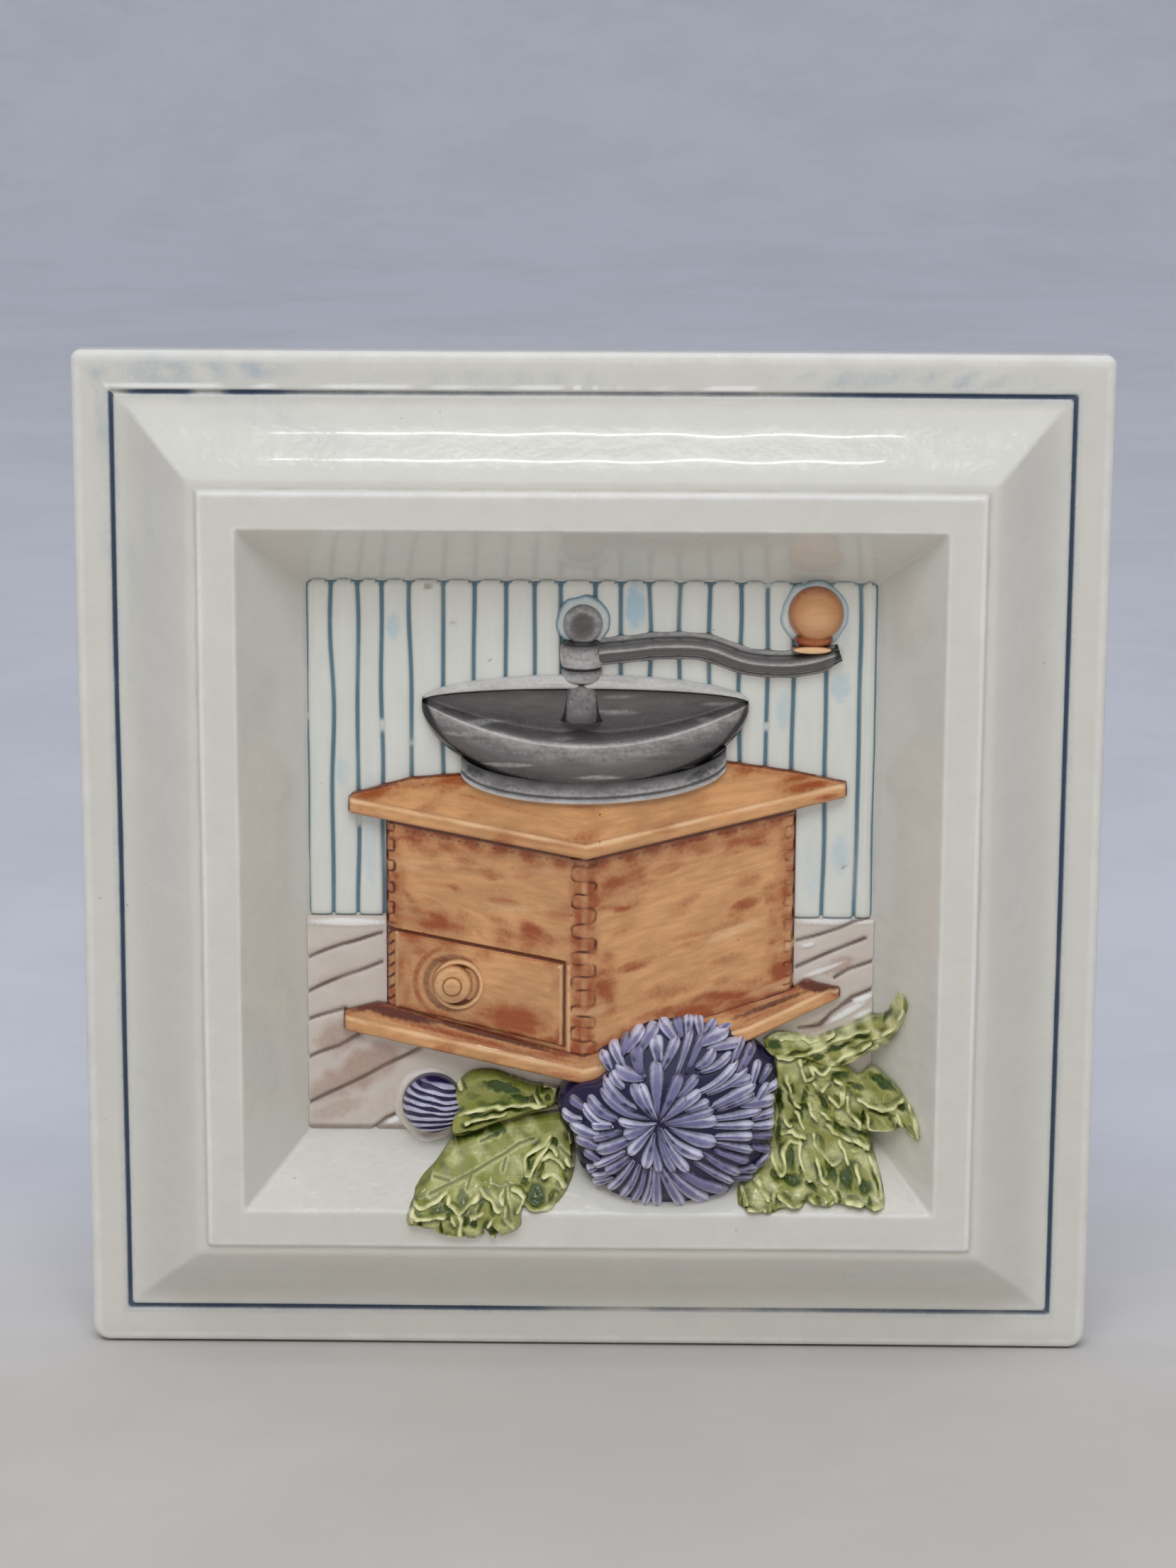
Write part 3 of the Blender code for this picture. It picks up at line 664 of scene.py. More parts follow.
def frame_paint(points, rows):
    """The blue line, strong on the left and right and broken along the top and bottom, with smears near it
    and a broken painted white glint above it at the top. The profile's pale adds thin glaze and painted
    highlights, and its deep adds dust and painted shade."""
    x, z = points[..., 0], points[..., 1]
    upright = np.abs(x) > np.abs(z)
    strength = np.where(upright, 1.0, np.where(z > 0, bend(x, LINE_AT_TOP), bend(x, LINE_AT_FOOT)))
    strength = np.clip(strength + 0.12 * ripple(x, z, 14, 21), 0, 1)
    inset = mm("side") / 2 - np.maximum(np.abs(x), np.abs(z))
    smear = blobs(x, z, LINE_SMEARS) * np.clip(0.75 + 0.6 * ripple(x, z * 0.25, 5, 31), 0, 1.3) * (inset < 24)
    glint = stroke(np.abs(inset - mm("rim_width") + 1.0), 0.4) * (z > 0) * (x < 30) * ~upright
    glint = 0.95 * glint * ease(-0.5, 0.3, ripple(x, 0 * z, 3.5, 33))
    return {
        "line": rows[:, 2:3] * strength,
        "wash": np.maximum(smear, 0.35 * stroke(np.abs(inset - mm("rim_width")), 1.5) * strength),
        "pale": np.maximum(rows[:, 3:4], glint),
        "deep": rows[:, 4:5] * np.clip(0.8 + 0.5 * ripple(x, z, 12, 41), 0, 1),
    }


def build_frame():
    """The whole casting: front and back profiles swept round the square, closed by two middle points."""
    front = front_profile()
    back = np.array([(inset, height, 0, 0, 0) for inset, height, _ in BACK_PROFILE], float)
    notch = np.array([[follow] for _, _, follow in BACK_PROFILE])
    points = np.concatenate([frame_rings(front[::-1], 0.0), frame_rings(back, notch)])
    rows = np.concatenate([front[::-1], back])
    masks = frame_paint(points[: len(front)], front[::-1])
    paint = {name: np.zeros(points.shape[:2]) for name in MASKS}
    for name, value in masks.items():
        paint[name][: len(front)] = value
    count, around = len(rows), points.shape[1]
    quads, index = grid_faces(count, around, closed=True)
    first, last = count * around, count * around + 1
    caps = [
        np.stack([np.roll(index[0], -1), index[0], np.full(around, first)], axis=-1),
        np.stack([index[-1], np.roll(index[-1], -1), np.full(around, last)], axis=-1),
    ]
    middles = np.array([(0, 0, mm("panel") - 0.5), (0, 0, 0)])
    for name in MASKS:
        paint[name] = np.append(paint[name].reshape(-1), (0, 0))
    paint["shape"] = (last + 1,)
    body = skin(np.vstack([points.reshape(-1, 3), middles]), [quads, *caps], paint)
    piece = add_piece("frame", [body], material("cream_glaze"))
    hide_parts("plaque")


# The room in the picture: wall boards and floor boards.

PANEL_HALF = 55.9
SKIRT_Z = -11.6  # where the wall meets the floor
WALL_GROOVES = (
    -55.5, -50.7, -45.6, -40.8, -35.2, -29.0, -23.0, -16.6, -11.0, -6.0, 0.5, 5.7, 11.3, 17.2, 23.0, 28.8,
    34.0, 39.2, 45.7, 52.1, 55.4,
)
WALL_SMUDGES = (
    (-38.5, 46.5, 1.7, 3.4, 0, 0.55), (-48.5, 17.5, 1.8, 4.0, 0, 0.45), (8.5, 50.5, 2.3, 5.4, 0, 0.95),
    (37.5, 30.0, 1.9, 4.6, 0, 0.5), (49.0, 1.5, 2.2, 5.0, 0, 0.5), (48.5, 35.0, 2.4, 3.6, 0, 0.5),
    (-43.3, 6.0, 1.6, 16.0, 0, 0.4), (43.5, 0.0, 2.2, 12.0, 0, 0.3), (49.5, 46.0, 1.3, 5.0, 0, 0.4),
)
WALL_SPECKS = (
    (-31.8, 54.3, 0.8), (-27.0, 47.0, 0.7), (-20.0, 40.0, 0.4), (-4.3, 52.9, 0.4), (49.8, -1.0, 0.3),
)


def build_wall_boards():
    """Crowned boards between wobbling grooves. Columns of the grid keep to the grooves, at set ways from
    them, so each groove is a clean hollow that holds its paint."""
    z = np.linspace(SKIRT_Z, PANEL_HALF, 110)[:, None]
    grooves = np.array(WALL_GROOVES)
    number = np.arange(len(grooves))
    wobble = 0.38 * ripple(number * 37.0, z, 30, 51)
    wobble[:, [0, -1]] *= 0.3
    paths = grooves + wobble
    near = (0.0, 0.2, 0.4, 0.62, 0.95, 1.4)
    columns, aside, which, across = [], [], [], []
    for k in range(len(grooves) - 1):
        left, right = paths[:, k], paths[:, k + 1]
        wide = np.maximum(right - left, 1e-3)
        offsets = [o for o in near if o < 0.45 * wide.min()]
        for o in offsets:
            columns.append(left + o)
            aside.append(o)
            which.append(k)
        if wide.min() > 3:
            for share in (0.38, 0.5, 0.62):
                columns.append(left + share * wide)
                aside.append(9.0)
                which.append(k)
        for o in offsets[:0:-1]:
            columns.append(right - o)
            aside.append(o)
            which.append(k + 1)
        across.append(left)
    columns.append(paths[:, -1])
    aside.append(0.0)
    which.append(len(grooves) - 1)
    x = np.stack(columns, axis=1)
    aside, which = np.array(aside), np.array(which)
    from_top = PANEL_HALF - z
    open_way = np.clip(aside - 0.9 * ease(1.6, 0.2, from_top), 0, None)
    hollow = ease(0.75, 0.1, open_way)
    crown = 0.28 * ease(0.3, 2.4, aside)
    height = mm("panel") + 0.35 + crown - 0.62 * hollow + 0.07 * ripple(x, z, 9, 52)
    height = height - 0.9 * ease(0.9, 0.0, from_top) - 0.5 * ease(0.8, 0.0, z - SKIRT_Z)
    strength = np.clip(0.95 + 0.22 * ripple(which * 29.0, z, 22, 53), 0.35, 1)
    gaps = ease(0.86, 0.95, np.abs(ripple(which * 13.0, z * 1.0, 11, 54)))
    line = ease(0.56, 0.22, open_way) * strength * (1 - 0.8 * gaps)
    line = np.maximum(line, ease(0.75, 0.25, from_top) * 0.9)
    line = np.maximum(line, ease(0.7, 0.2, z - SKIRT_Z) * 0.8)
    specks = np.max([0.8 * ease(r, 0.5 * r, np.hypot(x - sx, z - sz)) for sx, sz, r in WALL_SPECKS], axis=0)
    # pale lightens each board beside its groove near the top: pooled glaze and a painted highlight.
    pale = 0.4 * ease(0.5, 0.9, open_way) * ease(1.5, 1.0, open_way) * ease(4.0, 1.2, from_top)
    masks = {
        "line": line,
        "wash": np.maximum(blobs(x, z, WALL_SMUDGES), 0.22 * ease(1.1, 0.5, aside)) * (line < 0.5),
        "deep": specks,
        "pale": pale,
    }
    grid = np.stack(np.broadcast_arrays(x, z, height), axis=-1)
    add_piece("wall_boards", [sheet(grid, masks)], material("wall_glaze"))


FLOOR_LINES = (
    ((-56, -20.3), (-49, -17.4), (-41.2, -15.2)), ((-56, -27.4), (-48, -23.7), (-41.2, -21.0)),
    ((-56, -33.2), (-48.6, -30.7)), ((-56, -41.0), (-50, -38.4), (-45.6, -35.4)),
    ((-56, -50.4), (-44, -44.3), (-33.5, -38.6)), ((-42.8, -55.2), (-40.5, -53.2), (-37.5, -51.9)),
    ((40.8, -16.2), (49, -13.6), (52, -12.2), (56, -11.0)), ((40.8, -21.5), (47, -18.7), (54.2, -15.6)),
    ((48.4, -23.7), (51, -22.0), (56, -20.2)), ((49.6, -29.6), (52, -27.6), (56, -25.9)),
    ((41.5, -34.0), (45.5, -33.4), (48, -30.8), (51.6, -28.4)),
)
FLOOR_WASH = (
    (-50, -36.5, 5.5, 4.2, 30, 0.6), (-45, -43, 11, 4.4, 30, 0.75), (-52, -47, 6, 3.0, 30, 0.55),
    (-50, -24, 6, 2.2, 22, 0.25), (-38, -49, 8, 3.4, 30, 0.3), (49, -21, 4.4, 1.8, 22, 0.6),
    (45, -33.6, 4.0, 1.3, 25, 0.6), (-50, -51.5, 7, 2.2, 20, 0.45), (46, -26.0, 6, 1.4, 22, 0.25),
)
# FLOOR_PALE: raised patches painted as highlights along the boards' upper edges.
FLOOR_PALE = (
    (-48, -12.9, 9, 0.9, 0, 0.9), (48, -12.1, 9, 0.8, 0, 0.7), (46, -22.0, 5, 0.6, 22, 0.7),
    (54, -27.8, 2.4, 0.8, 22, 0.9), (51, -30.6, 5, 0.8, 30, 0.8), (-38.5, -53.3, 2.5, 0.8, 30, 0.8),
    (54, -31.0, 2.5, 0.7, 25, 0.8), (43, -16.9, 1.6, 0.5, 15, 0.8),
)


def build_floor_boards():
    """A field of points whose height and paint come from the distance to the slanting grooves."""
    x, z = np.meshgrid(np.linspace(-PANEL_HALF, PANEL_HALF, 310), np.linspace(-PANEL_HALF, SKIRT_Z, 128))
    wander = 0.25 * ripple(x, z, 12, 61)
    distance = np.min([way_to(x, z + wander, line) for line in FLOOR_LINES], axis=0)
    foot = z + PANEL_HALF
    height = mm("panel") + 0.45 - 0.5 * stroke(distance, 0.5) + 0.12 * ease(0.3, 1.4, distance)
    height = height + 0.08 * ripple(x, z, 7, 62) - 0.6 * ease(1.0, 0.1, foot)
    height = height + 0.35 * blobs(x, z, FLOOR_PALE)
    masks = {
        "line": np.maximum(
            stroke(distance, 0.42) * (0.8 + 0.15 * ripple(x, z, 9, 63)),
            0.55 * ease(1.2, 0.4, np.abs(foot - 0.7)),
        ),
        "wash": blobs(x, z, FLOOR_WASH),
        "pale": blobs(x, z, FLOOR_PALE),
    }
    grid = np.stack([x, z, height], axis=-1)
    add_piece("floor_boards", [sheet(grid, masks)], material("floor_glaze"))


# The coffee mill: its box.

CASE_ROWS, CASE_HALF_WIDTH, CASE_CORNER_X = 230, 40.2, -1.1
CASE_LIFTS = ((-40.2, 1.8), (-38.4, 2.4), (-3.6, 5.5), (-1.1, 5.95), (1.4, 5.5), (38.3, 2.4), (40.2, 1.8))
CASE_TOP = ((-40.2, 9.0), (-1.1, 3.0), (40.2, 12.0))
CASE_FOOT = ((-40.2, -29.3), (-1.1, -40.0), (40.2, -25.6))
TOP_LOWER = ((-47.5, 9.6), (-0.8, 1.5), (50, 13.3))
DRAWER_TOP = ((-38.4, -14.2), (-5.2, -20.0))
DRAWER_FOOT = ((-38.4, -29.6), (-5.2, -36.7))
# Each joint: left, right, the first side, and the places up the case where its line crosses.
JOINTS = (
    (
        -3.6, 1.1, 1,
        (
            -38.3, -35.4, -32.9, -30.6, -28.4, -25.2, -22.4, -20.0, -17.3, -14.9, -11.8, -8.8, -5.8, -3.2,
            -0.2, 2.0,
        ),
    ),
    (-39.9, -38.5, 0, (-12.6, -10.6, -8.6, -6.4, -4.3, -2.2, 0.0, 2.1, 4.2, 6.0, 8.0)),
    (
        38.2, 39.9, 1,
        (
            -24.6, -22.8, -20.4, -18.1, -15.8, -13.6, -11.2, -8.9, -6.5, -4.2, -1.9, 0.5, 2.8, 5.1, 7.4,
            9.6,
        ),
    ),
)
CASE_STAINS = (
    (-30, -12.2, 7.5, 2.7, -8, 0.8), (-12, -14.6, 5, 3.2, -10, 0.95), (-36, -6.6, 4.4, 1.1, -30, 0.6),
    (-22, -1.6, 15, 1.1, -4, 0.5), (-32, 3.4, 9, 2.0, -6, 0.7), (-8, -19.4, 6, 0.9, -10, 0.8),
    (-6, -9.5, 3.5, 2.0, 20, 0.45), (0.6, -4.6, 2.0, 4.6, 0, 0.95), (6, -3.0, 7, 3.2, 12, 0.8),
    (4, -8.6, 8, 1.1, 12, 0.7), (3, -24.5, 2.6, 6.5, 0, 0.9), (37.5, -22.5, 3.0, 5.0, 0, 1.0),
    (22, -28.2, 18, 1.8, 19, 0.9), (10, -34.5, 9, 2.4, 19, 0.9), (20, 3.2, 15, 1.4, 13, 0.6),
    (31, 5.4, 8, 2.4, 13, 0.7), (30, -10.5, 9, 0.8, 15, 0.4), (17, -17, 9, 0.8, 17, 0.4),
    (0.6, -37.2, 2.2, 2.4, 0, 0.9), (36.0, -10, 1.6, 11, 0, 0.55), (-25, -5.2, 9, 0.7, -5, 0.35),
    (-38.0, -2.0, 1.6, 9, 0, 0.5), (-2.6, -20.0, 1.6, 14, 0, 0.5), (14, -26.0, 9, 2.0, 18, 0.45),
)
SOFT = (1.7, 0.0)  # a wood stain fades out between these shares of its size


def rounded(line):
    """A broken line with its corners cut off twice."""
    line = np.array(line, float)
    for _ in range(2):
        cuts = np.stack([0.85 * line[:-1] + 0.15 * line[1:], 0.15 * line[:-1] + 0.85 * line[1:]], axis=1)
        line = np.concatenate([line[:1], cuts.reshape(-1, 2), line[-1:]])
    return line


def finger_joints(x, z):
    """Lines of the joints: each runs up the case and crosses from side to side, as the fingers of the two
    boards do. Beside the drawer the left corner has slanting cuts, as a rope has."""
    lines = np.zeros_like(x)
    for left, right, first, places in JOINTS:
        path = []
        for k, up in enumerate(places):
            sides = (left, right) if (k + first) % 2 else (right, left)
            path += [(sides[0], up - 0.25 * math.sin(up)), (sides[1], up + 0.25 * math.sin(2 * up))]
        worn = np.clip(0.66 + 0.6 * ripple(x, z, 3.1, 74), 0.15, 1)
        sway_x, sway_z = x + 0.16 * ripple(x, z, 2.2, 75), z + 0.16 * ripple(x, z, 2.6, 78)
        lines = np.maximum(lines, stroke(way_to(sway_x, sway_z, rounded(path)), 0.28) * worn)
    rope = np.abs(((z - 0.8 * (x + 39.4)) / 2.25) % 1 - 0.5) * 2.25
    rope = stroke(rope, 0.34) * ease(-13.6, -14.4, z) * ease(-38.35, -38.7, x) * (x < -30)
    return np.maximum(lines, rope)


def build_mill_case():
    """Two sides that meet at the front edge, ruled between the foot line and the top line, with joints cut
    in and lines round the drawer."""
    parts = ((-40.2, -38.0, 20), (-38.0, -4.3, 50), (-4.3, 1.9, 46), (1.9, 37.9, 46), (37.9, 40.2, 20))
    x = np.unique(np.concatenate([np.linspace(*part) for part in parts]).round(4))
    share = np.linspace(0, 1, CASE_ROWS)[:, None]
    foot, top = bend(x, CASE_FOOT), bend(x, CASE_TOP)
    z = foot + (top - foot) * share
    x = np.broadcast_to(x, z.shape)
    joints = finger_joints(x, z)
    upper = ((-40.2, -13.4), (-38.3, -14.0), (-5.0, -19.7))
    drawer = way_to(x, z, [*upper, (-4.9, -36.4)])
    below = bend(x, TOP_LOWER) - z
    tick = stroke(np.abs(below - 1.5 - 0.15 * ripple(x, z, 3, 71)), 0.3) * ease(0.1, 0.6, np.sin(x * 3.6))
    edge = CASE_HALF_WIDTH - np.abs(x)
    lift = bend(x, CASE_LIFTS) - 0.32 * joints - 0.3 * stroke(drawer, 0.4)
    lift = lift + 0.08 * ripple(x * 0.3, z, 3.2, 72) - 0.8 * ease(0.9, 0.1, edge)
    grid = np.stack([x, z, mm("panel") + lift], axis=-1)
    slope = np.where(x < CASE_CORNER_X, -0.17, 0.29)
    brushed = z - slope * x
    fine_streaks, broad_streaks = ripple(x * 0.28, brushed, 4.6, 73), ripple(x * 0.5, brushed, 13, 76)
    streaks = 0.5 * ease(0.1, 0.9, fine_streaks) + 0.35 * ease(0.2, 1.0, broad_streaks)
    stains = 0.95 * blobs(x + 0.9 * ripple(x, z, 6, 171), z + 0.9 * ripple(x, z, 5, 172), CASE_STAINS, SOFT)
    stains = stains + 0.3 * ripple(x * 0.3, brushed, 2.2, 79) * (0.4 + stains)
    near_edges = strongest(
        0.85 * ease(6, 0.5, below), 0.9 * ease(6, 0.5, z - foot), 0.8 * ease(4.4, 1.4, np.abs(x + 1.2)),
        0.8 * ease(6, 0.5, edge),
    )
    near_edges = near_edges * np.clip(0.8 + 0.5 * ripple(x, z, 5, 173), 0, 1.2)
    masks = {
        "line": strongest(
            0.9 * joints * np.where(x > 30, 0.6, 1), stroke(drawer, 0.5), 0.6 * tick * (np.abs(x) < 38)
        ),
        # deep: darker just under the top board, the wood's own line with painted shade over it, and darker at
        # the side edges and at the foot.
        "deep": strongest(ease(1.0, 0.35, below), 0.9 * ease(0.7, 0.2, edge), 0.9 * ease(1.1, 0.0, z - foot)),
        "wash": strongest(stains, streaks, near_edges),
        "pale": strongest(
            0.55 * ease(0.5, 0.1, np.abs(x + 4.1)) * (z < -20),
            0.3 * ease(1.2, 0.2, np.abs(x - CASE_CORNER_X)),
            # a painted highlight along the front corner
            0.5 * ease(0.35, 1.0, ripple(x * 0.25, brushed, 7, 77)),
        ),
    }
    grain = np.stack([x, brushed, grid[..., 2]], axis=-1)
    add_piece("mill_case", [sheet(grid, masks, grain)], material("wood_glaze"))


def build_mill_drawer():
    """The drawer's front, proud of the case's left side, with softened edges. Its knob is a plate and a
    dome."""
    left, right = DRAWER_TOP[0][0], DRAWER_TOP[1][0]
    x, share = np.meshgrid(np.linspace(left, right, 110), np.linspace(0, 1, 60))
    foot, top = bend(x, DRAWER_FOOT), bend(x, DRAWER_TOP)
    z = foot + (top - foot) * share
    rim = np.min([x - left, right - x, z - foot, top - z], axis=0)
    lift = bend(x, CASE_LIFTS) + 0.1 + 0.9 * ease(0.0, 0.8, rim) + 0.06 * ripple(x * 0.3, z, 3, 81)
    stains = blobs(x, z, (
        (-15, -31.2, 7.5, 3.4, -8, 1.0), (-33.5, -17.6, 2.2, 1.6, 0, 0.6), (-20.5, -30.4, 4, 1.2, 0, 0.6),
        (-36.2, -27, 1.1, 3.5, 0, 0.6), (-27, -19.6, 5, 0.9, 0, 0.7), (-35.6, -20, 0.9, 4.0, 10, 0.4),
    ), SOFT)
    ring = np.hypot(x + 27.0, z + 24.2)
    curve = stroke(np.abs(ring - 7.4), 0.7) * ease(-26, -30, x) * 0.65
    near_edges = 0.75 * ease(3.6, 0.5, rim) * np.clip(0.6 + 0.8 * ripple(x, z, 6, 174), 0, 1.2)
    right_edge = 0.8 * ease(0.9, 0.5, rim) * ease(0.1, 0.4, rim) * (right - x < 1.2)
    masks = {
        "wash": strongest(stains, curve, near_edges),
        # The dark ring round the knob's plate is painted shade.
        "deep": strongest(0.75 * ease(0.5, 0.1, z - foot), 0.55 * ease(1.1, 0.3, np.abs(ring - 5.3))),
        "pale": right_edge + 0.5 * ease(1.0, 0.4, x - left),
    }
    grid = np.stack([x, z, mm("panel") + lift], axis=-1)
    grain = np.stack([x, z + 0.17 * x, grid[..., 2]], axis=-1)
    # deep paints shade at the foot of the plate, in its hollow round the dome and at the dome's foot; pale on
    # the plate's rim and the dome's shoulder is a painted highlight.
    knob = [
        boss(
            -25.9, -24.4, 5.3, 5.3,
            ((1, 3.7), (0.98, 4.6), (0.9, 5.3), (0.8, 5.2), (0.72, 4.7), (0.3, 4.6), (0, 4.6)),
            {"deep": (1, 0.5, 0, 0, 0.9, 0.7, 0.7), "pale": (0, 0.1, 0.7, 0.3, 0, 0, 0)},
        ),
        boss(
            -27.0, -24.2, 3.9, 3.9,
            ((1, 4.4), (0.97, 5.6), (0.84, 6.7), (0.55, 7.2), (0.46, 7.1), (0.4, 7.7), (0.2, 8.0), (0, 8.0)),
            {"deep": (0.9, 0.35, 0, 0.15, 0.6, 0.05, 0, 0), "pale": (0, 0, 0.5, 0.3, 0, 0.5, 0.3, 0.2)},
        ),
    ]
    add_piece("mill_drawer", [sheet(grid, masks, grain)], material("wood_glaze"))
    add_piece("drawer_knob", knob, material("wood_glaze"))


# Steps of a board's rounded edge: way up from the lower edge, drop, dark, pale.
# The dark under the nosing is painted shade, and the pale on its round a painted highlight.
NOSING = (
    (0.0, -1.5, 1.0, 0.0), (0.15, -0.6, 0.6, 0.0), (0.6, -0.1, 0.1, 0.1), (1.3, 0.0, 0.0, 0.1),
    (2.0, -0.1, 0.0, 0.2), (2.6, -0.25, 0.0, 0.9), (2.95, -0.55, 0.1, 0.7), (3.3, -0.95, 0.35, 0.0),
)
NOSING_ROWS, TOP_ROWS = 30, 45


def build_board(name, x, lower, back, front_lift, back_lift, stains, darks):
    """A board seen from above its front corner: a rounded nosing along its lower edge, then its top."""
    front_z, lift = bend(x, lower), bend(x, front_lift)
    rise = np.clip((bend(x, back) - front_z) / 3.6, 0.25, 1)
    rows, dark, pale = [], [], []
    for up, drop, dark_here, pale_here in NOSING:
        rows.append(np.stack([x, front_z + up * rise, lift + drop], axis=-1))
        dark.append(dark_here)
        pale.append(pale_here)
    nosing = smooth_line(rows, NOSING_ROWS)
    back_z = np.maximum(bend(x, back), nosing[-1, :, 1] + 0.25)
    share = np.linspace(0, 1, TOP_ROWS + 1)[1:, None]
    start = nosing[-1]
    top = np.stack([
        np.broadcast_to(x, (TOP_ROWS, len(x))),
        start[:, 1] + (back_z - start[:, 1]) * share,
        start[:, 2] + (bend(x, back_lift) - start[:, 2]) * share,
    ], axis=-1)
    grid = np.concatenate([nosing, top])
    x2, z2 = grid[..., 0], grid[..., 1]
    ends = np.minimum(x2 - x2.min(), x2.max() - x2)
    from_back = back_z - z2
    grid[..., 2] += mm("panel") + 0.05 * ripple(x2 * 0.4, z2, 3, 91) - 1.0 * ease(0.8, 0.0, ends)
    grid[..., 2] -= 0.5 * ease(0.6, 0.0, from_back)
    dark, pale = (
        np.append(loft_values(values, NOSING_ROWS), np.zeros(TOP_ROWS))[:, None] + 0 * x2
        for values in (dark, pale)
    )
    streaks = 0.5 * ease(0.0, 0.9, ripple(x2 * 0.3, z2, 4, 93)) + 0.5 * ease(2.5, 0.3, from_back)
    masks = {
        # deep paints shade under the nosing, along the back edge and in the darks patches.
        "deep": strongest(dark, blobs(x2, z2, darks), 0.8 * ease(0.45, 0.1, from_back)),
        "pale": pale * np.clip(0.75 + 0.5 * ripple(x2, z2, 12, 92), 0, 1),
        "wash": strongest(blobs(x2, z2, stains, SOFT), streaks),
        "line": 0.85 * ease(0.55, 0.15, ends),
    }
    grain = np.stack([x2, z2 - front_z, grid[..., 2]], axis=-1)
    add_piece(name, [sheet(grid, masks, grain)], material("wood_glaze"))


def board_columns(left, near_left, near_right, right):
    """Places across a board, closer together at its two ends."""
    ends = np.linspace(left, near_left, 6)[:-1], np.linspace(near_right, right, 6)
    return np.concatenate([ends[0], np.linspace(near_left, near_right, 150)[:-1], ends[1]])


def build_mill_boards():
    build_board(
        "mill_top_board",
        board_columns(-47.5, -46, 48.6, 50),
        TOP_LOWER,
        (
            (-47.5, 12.6), (-46.5, 13.5), (-40, 15.3), (-35, 16.6), (-26, 17.4), (26, 20.3), (40, 18.3),
            (50, 16.3),
        ),
        ((-47.5, 3.2), (-0.8, 7.9), (50, 3.0)),
        ((-47.5, 2.2), (50, 2.0)),
        stains=(
            (-8, 5.3, 12, 1.0, -8, 0.6), (-30, 15.6, 14, 0.9, 5, 0.6), (42, 15.6, 5.5, 1.3, 12, 0.9),
            (30, 19.0, 13, 0.8, -8, 0.6), (-41, 13.4, 6, 1.2, 4, 0.4), (16, 9.2, 10, 0.7, 12, 0.4),
            (-20, 12.4, 12, 0.7, -14, 0.45), (46, 13.6, 3.2, 0.7, 12, 0.8),
        ),
        darks=((-43, 14.5, 6, 0.5, 12, 0.8), (36, 19.3, 9, 0.35, -11, 0.7)),
    )
    build_board(
        "mill_base_board",
        board_columns(-48.8, -47.3, 48.1, 49.5),
        ((-48.8, -34.7), (-1.2, -44.1), (31, -36.1), (49.5, -27.4)),
        (
            (-48.8, -30.7), (-42, -28.9), (-39.6, -29.2), (-1.2, -38.5), (40, -25.4), (42.6, -23.5),
            (45, -24.4), (49.5, -25.4),
        ),
        ((-48.8, 2.6), (-1.2, 7.7), (49.5, 2.6)),
        ((-48.8, 1.8), (-42, 2.3), (-1.2, 6.6), (40, 2.4), (49.5, 1.8)),
        stains=(
            (-25, -35.2, 20, 0.9, -13, 0.8), (-8, -38.6, 7, 0.9, -10, 0.6), (35, -30.2, 8, 1.1, 20, 0.6),
            (-5, -42.2, 4, 0.7, -8, 0.6),
        ),
        # The base board's darks are painted shade behind it, at the case's foot.
        darks=(
            (-38, -31.0, 10, 1.2, -12, 1.0), (-20, -34.6, 16, 0.8, -13, 0.9),
            (-43.5, -29.6, 4.5, 0.9, 14, 1.0), (36, -28.4, 9, 0.7, 20, 0.8),
            (44.6, -25.0, 5.2, 1.3, -10, 1.0),
        ),
    )


# The coffee mill: its hopper and crank.

BOWL_MIDDLE, BOWL_HALF_WIDTH, BOWL_RIM_Z = -1.2, 32.0, 31.8
BOWL_LEFT_LINE = ((-33.0, 31.6), (-31.0, 26.8), (-28.3, 23.2), (-21.5, 18.8))
BOWL_RIGHT_LINE = ((30.6, 31.2), (29.6, 28.6), (25.0, 22.6))
BOWL_SHADE = ((-14, 18.6, 9, 1.6, -12, 0.7), (14, 17.2, 12, 1.4, 14, 0.7), (0, 28.0, 22, 2.6, 0, 0.5))
POST_X = -1.9
# The turned post from its foot up: z, radius, dark, pale.
# The pale on the post's rings is a painted highlight.
POST = (
    (28.3, 4.3, 0.9, 0), (28.9, 3.9, 0.3, 0), (30.5, 3.4, 0, 0.2), (33.5, 3.0, 0, 0.3), (35.2, 2.9, 0.1, 0.2),
    (35.8, 2.9, 1, 0), (36.3, 3.7, 0.3, 0.5), (37.4, 3.9, 0.1, 0.5), (38.3, 3.9, 0.4, 0.2), (38.7, 3.5, 1, 0),
    (39.2, 4.0, 0.3, 0.5), (40.6, 4.2, 0, 0.6), (42.2, 4.2, 0.1, 0.4), (43.1, 4.1, 0.5, 0.2),
    (43.7, 3.6, 1, 0), (44.2, 3.2, 1, 0),
)
# The bar's middle line, and its section from the lower side up: out, lift, dark, wash, pale.
ARM = ((1.5, 41.6), (8, 42.3), (14, 42.9), (22, 42.6), (30, 40.0), (37, 39.4), (43, 40.1), (48.2, 41.8))
# The pale stripe near the bar's middle is a painted highlight, and the dark along its lower edge painted
# shade.
ARM_SECTION = (
    (-2.9, 0.1, 0.7, 0, 0.3), (-2.55, 0.9, 0.2, 0, 0.3), (-2.15, 1.2, 0.1, 0, 0.3), (-1.9, 1.3, 0.9, 0, 0),
    (-1.6, 2.4, 0.4, 0.2, 0), (-1.1, 3.0, 0, 0.4, 0), (-0.6, 3.05, 0, 0.6, 0), (-0.2, 2.95, 0, 0.5, 0),
    (0.25, 3.15, 0.1, 0, 0.75), (0.8, 3.3, 0, 0.4, 0.15), (1.4, 2.7, 0, 0.5, 0), (1.75, 1.6, 0.7, 0.1, 0),
    (2.1, 1.2, 0.2, 0, 0.3), (2.6, 0.9, 0.1, 0, 0.4), (2.9, 0.1, 0.6, 0, 0.2),
)
